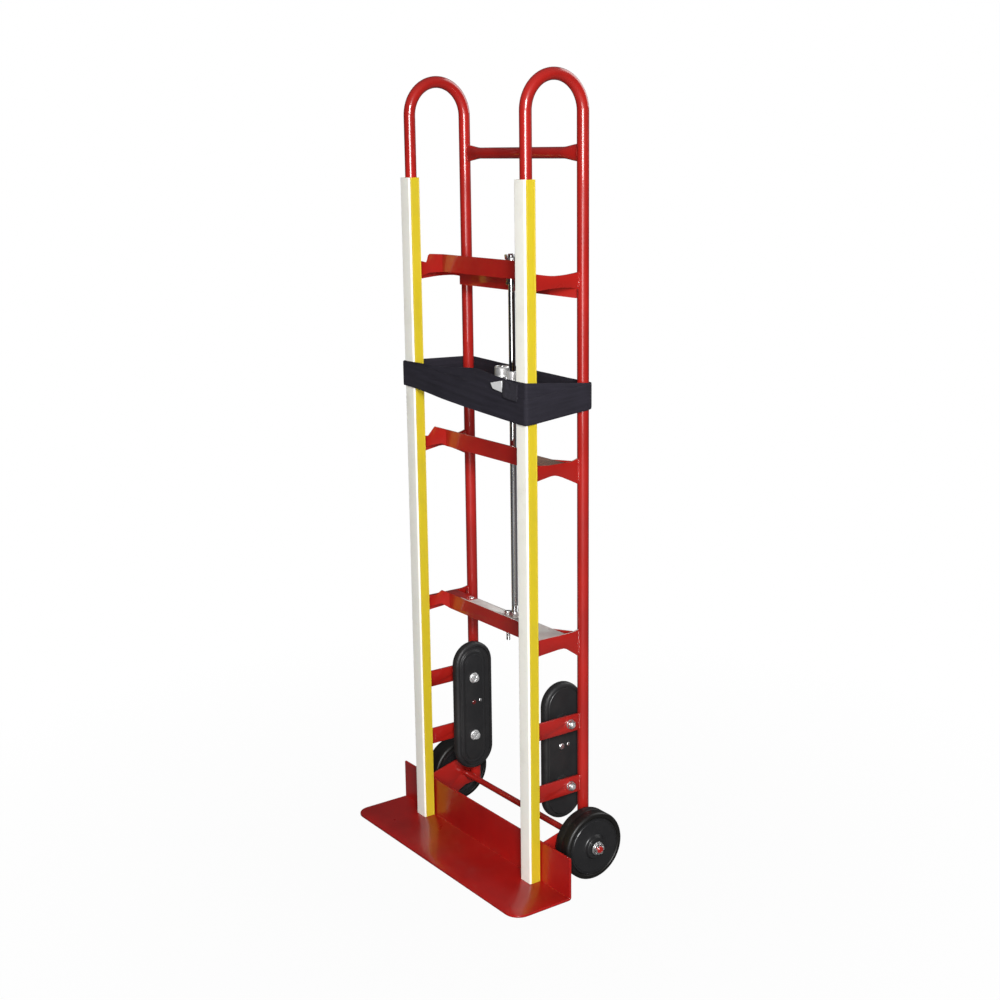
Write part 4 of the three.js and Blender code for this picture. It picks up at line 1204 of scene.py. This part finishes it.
def wound_webbing(node):
    """The turns of webbing on the spool, as one spiral."""
    lo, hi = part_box(node)
    r0, pitch = 6.6 * MM, 2.05 * MM
    turns = ((hi.x - lo.x) / 2 - MM - r0) / pitch
    stations = int(turns * 40)
    points = []
    for i in range(stations + 1):
        t = turns * i / stations
        r, a = r0 + pitch * t, math.tau * t
        points.append(Vector((SPOOL.x + r * math.cos(a), SPOOL.y + r * math.sin(a))))
    ribbon(
        "webbing_wound", points, hi.z - lo.z, THIN, CLOTH, "tightener_spool", node,
        drop=lambda i: lo.z, rows=5,
    )


wound_webbing("webbing_roll")

# ---- hook and end loop on the front of the strap ----
HOOK_CORNERS = ((103, 970), (139, 978), (141, 956), (110, 960))  # (x, z) in mm


def hook_shape(node):
    """A plain four-cornered plate standing on edge."""
    lo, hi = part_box(node)
    plate = prism([(x * MM, z * MM) for x, z in HOOK_CORNERS], 0, hi.y - lo.y)
    plate.transform(Matrix(((1, 0, 0, 0), (0, 0, -1, hi.y), (0, 1, 0, 0), (0, 0, 0, 1))))
    return plate


hook = hook_shape("strap_hook")
piece("hook_plate", hook, PALE_ZINC, "strap_carriage", "zinc", "strap_hook", edge=0.8 * MM, segments=3)


def end_loop():
    """The strap's sewn end, folded back on itself round the hook's bar."""
    lo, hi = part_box("strap_end_loop")
    depth = hi.y - lo.y
    r = depth / 2 - 0.95 * MM
    y = (lo.y + hi.y) / 2
    straight = [i * (hi.x - lo.x - depth) / 20 for i in range(21)]
    path = [(hi.x - d, y - r) for d in straight]
    path += arc(lo.x + depth / 2, y, r, 270, 90, 10)[1:]
    path += [(lo.x + depth / 2 + d, y + r) for d in straight[1:]]
    height = (hi.z - lo.z) * 0.84
    n = len(path) - 1

    def droop(i):
        along = abs(2 * i / n - 1)
        return lo.z + (hi.z - lo.z - height) * (0.35 + 0.65 * (1 - along) ** 2)

    def puff(i, v):
        along = abs(2 * i / n - 1)
        swell = 1.2 * MM * noise.noise(Vector((i * 0.21, v * 2.2, 5)))
        return swell - 1.6 * MM * along * abs(2 * v - 1) ** 2

    # The end fold takes the lighter webbing copy: painted light on the loop.
    ribbon(
        "end_fold", [Vector(p) for p in path], height, 1.8 * MM, CLOTH_PAINTED_LIGHT, "strap_carriage",
        "strap_end_loop", drop=droop, shift=puff,
    )


end_loop()


# ---- floor, lights, camera ----
ROOM = (  # share of the way up, and colour
    (0.45, (0.012, 0.012, 0.0125, 1)),
    (0.95, (0.14, 0.14, 0.143, 1)),
)
CAMERA_AT = (2.33741, -1.61832, 1.39279)
AZIMUTH, DOWN, ROLL = 54.64, 13.27, -0.74  # degrees
LENS, SENSOR = 54.18, 36  # mm


def floor():
    """White to the camera and faintly shaded near the truck; dark and matt to everything else."""
    bm = bmesh.new()
    bmesh.ops.create_circle(bm, cap_ends=True, radius=40, segments=96)
    mesh = bpy.data.meshes.new("floor")
    bm.to_mesh(mesh)
    bm.free()
    obj = added("floor", mesh)
    obj.location.z = -0.0005
    look = Look("pale floor", (0.11, 0.11, 0.11), 0.9)
    away = look.node("ShaderNodeVectorMath", {0: look.place}, operation="LENGTH").outputs["Value"]
    glow = look.node("ShaderNodeEmission", {"Color": (1, 1, 1, 1), "Strength": 1.0})
    camera_ray = look.node("ShaderNodeLightPath").outputs["Is Camera Ray"]
    fade = look.times(look.span(away, 0.3, 1.4, 0.97, 1.0), camera_ray)
    inputs = {0: fade, 1: look.shader.outputs[0], 2: glow.outputs[0]}
    mix = look.node("ShaderNodeMixShader", inputs)
    look.links.new(mix.outputs[0], look.nodes["Material Output"].inputs["Surface"])
    mesh.materials.append(look.material)


def area_light(name, azimuth, elevation, distance, size, power, aim=(0, 0, 0.75)):
    """A rectangle of light facing its aim; azimuth 0 is in front and 90 to the right."""
    data = bpy.data.lights.new(name, "AREA")
    data.shape = "RECTANGLE"
    data.size, data.size_y = size
    data.energy = power
    obj = added(name, data)
    a, e = math.radians(azimuth), math.radians(elevation)
    back = Vector((math.sin(a) * math.cos(e), -math.cos(a) * math.cos(e), math.sin(e)))
    obj.location = Vector(aim) + back * distance
    obj.rotation_mode = "QUATERNION"
    obj.rotation_quaternion = (-back).to_track_quat("-Z", "Y")


def world():
    """White to the camera; to the object, a plain room that is paler above than at its sides."""
    made = bpy.data.worlds.new("studio")
    bpy.context.scene.world = made
    made.use_nodes = True
    tree = Nodes(made.node_tree)
    tree.nodes.clear()
    place = tree.node("ShaderNodeTexCoord").outputs["Generated"]
    height = tree.node("ShaderNodeSeparateXYZ", {0: place}).outputs["Z"]
    share = tree.node("ShaderNodeMath", {0: height, 1: 0.5, 2: 0.5}, operation="MULTIPLY_ADD")
    ramp = tree.node("ShaderNodeValToRGB", {0: share.outputs[0]})
    for stop, (position, color) in zip(ramp.color_ramp.elements, ROOM):
        stop.position = position
        stop.color = color
    room = tree.node("ShaderNodeBackground", {"Color": ramp.outputs[0], "Strength": 1.0})
    white = tree.node("ShaderNodeBackground", {"Color": (1, 1, 1, 1)})
    rays = tree.node("ShaderNodeLightPath").outputs["Is Camera Ray"]
    mix = tree.node("ShaderNodeMixShader", {0: rays, 1: room.outputs[0], 2: white.outputs[0]})
    tree.node("ShaderNodeOutputWorld", {"Surface": mix.outputs[0]})


def camera():
    """Looks down at the truck from its front right."""
    azimuth, down, roll = (math.radians(angle) for angle in (AZIMUTH, DOWN, ROLL))
    level = Vector((-math.sin(azimuth), math.cos(azimuth), 0))
    forward = level * math.cos(down) - Vector((0, 0, math.sin(down)))
    right = forward.cross(Vector((0, 0, 1))).normalized()
    up = right.cross(forward)
    turned_right = right * math.cos(roll) + up * math.sin(roll)
    turned_up = up * math.cos(roll) - right * math.sin(roll)
    data = bpy.data.cameras.new("camera")
    data.sensor_width = SENSOR
    data.lens = LENS
    obj = added("camera", data)
    turn = Matrix((turned_right, turned_up, -forward)).transposed().to_4x4()
    obj.matrix_world = Matrix.Translation(CAMERA_AT) @ turn
    bpy.context.scene.camera = obj


floor()
area_light("key", 60, 22, 4.0, (0.9, 0.9), 165)
area_light("front", 52, 0, 3.9, (1.5, 0.5), 60, aim=(0, 0, 1.42))
area_light("low", 46, 0, 3.9, (1.3, 0.95), 22, aim=(0, 0, 0.6))
area_light("back", 178, 32, 4.2, (3.0, 3.0), 75)
world()
camera()
bpy.context.scene.view_settings.view_transform = "Standard"
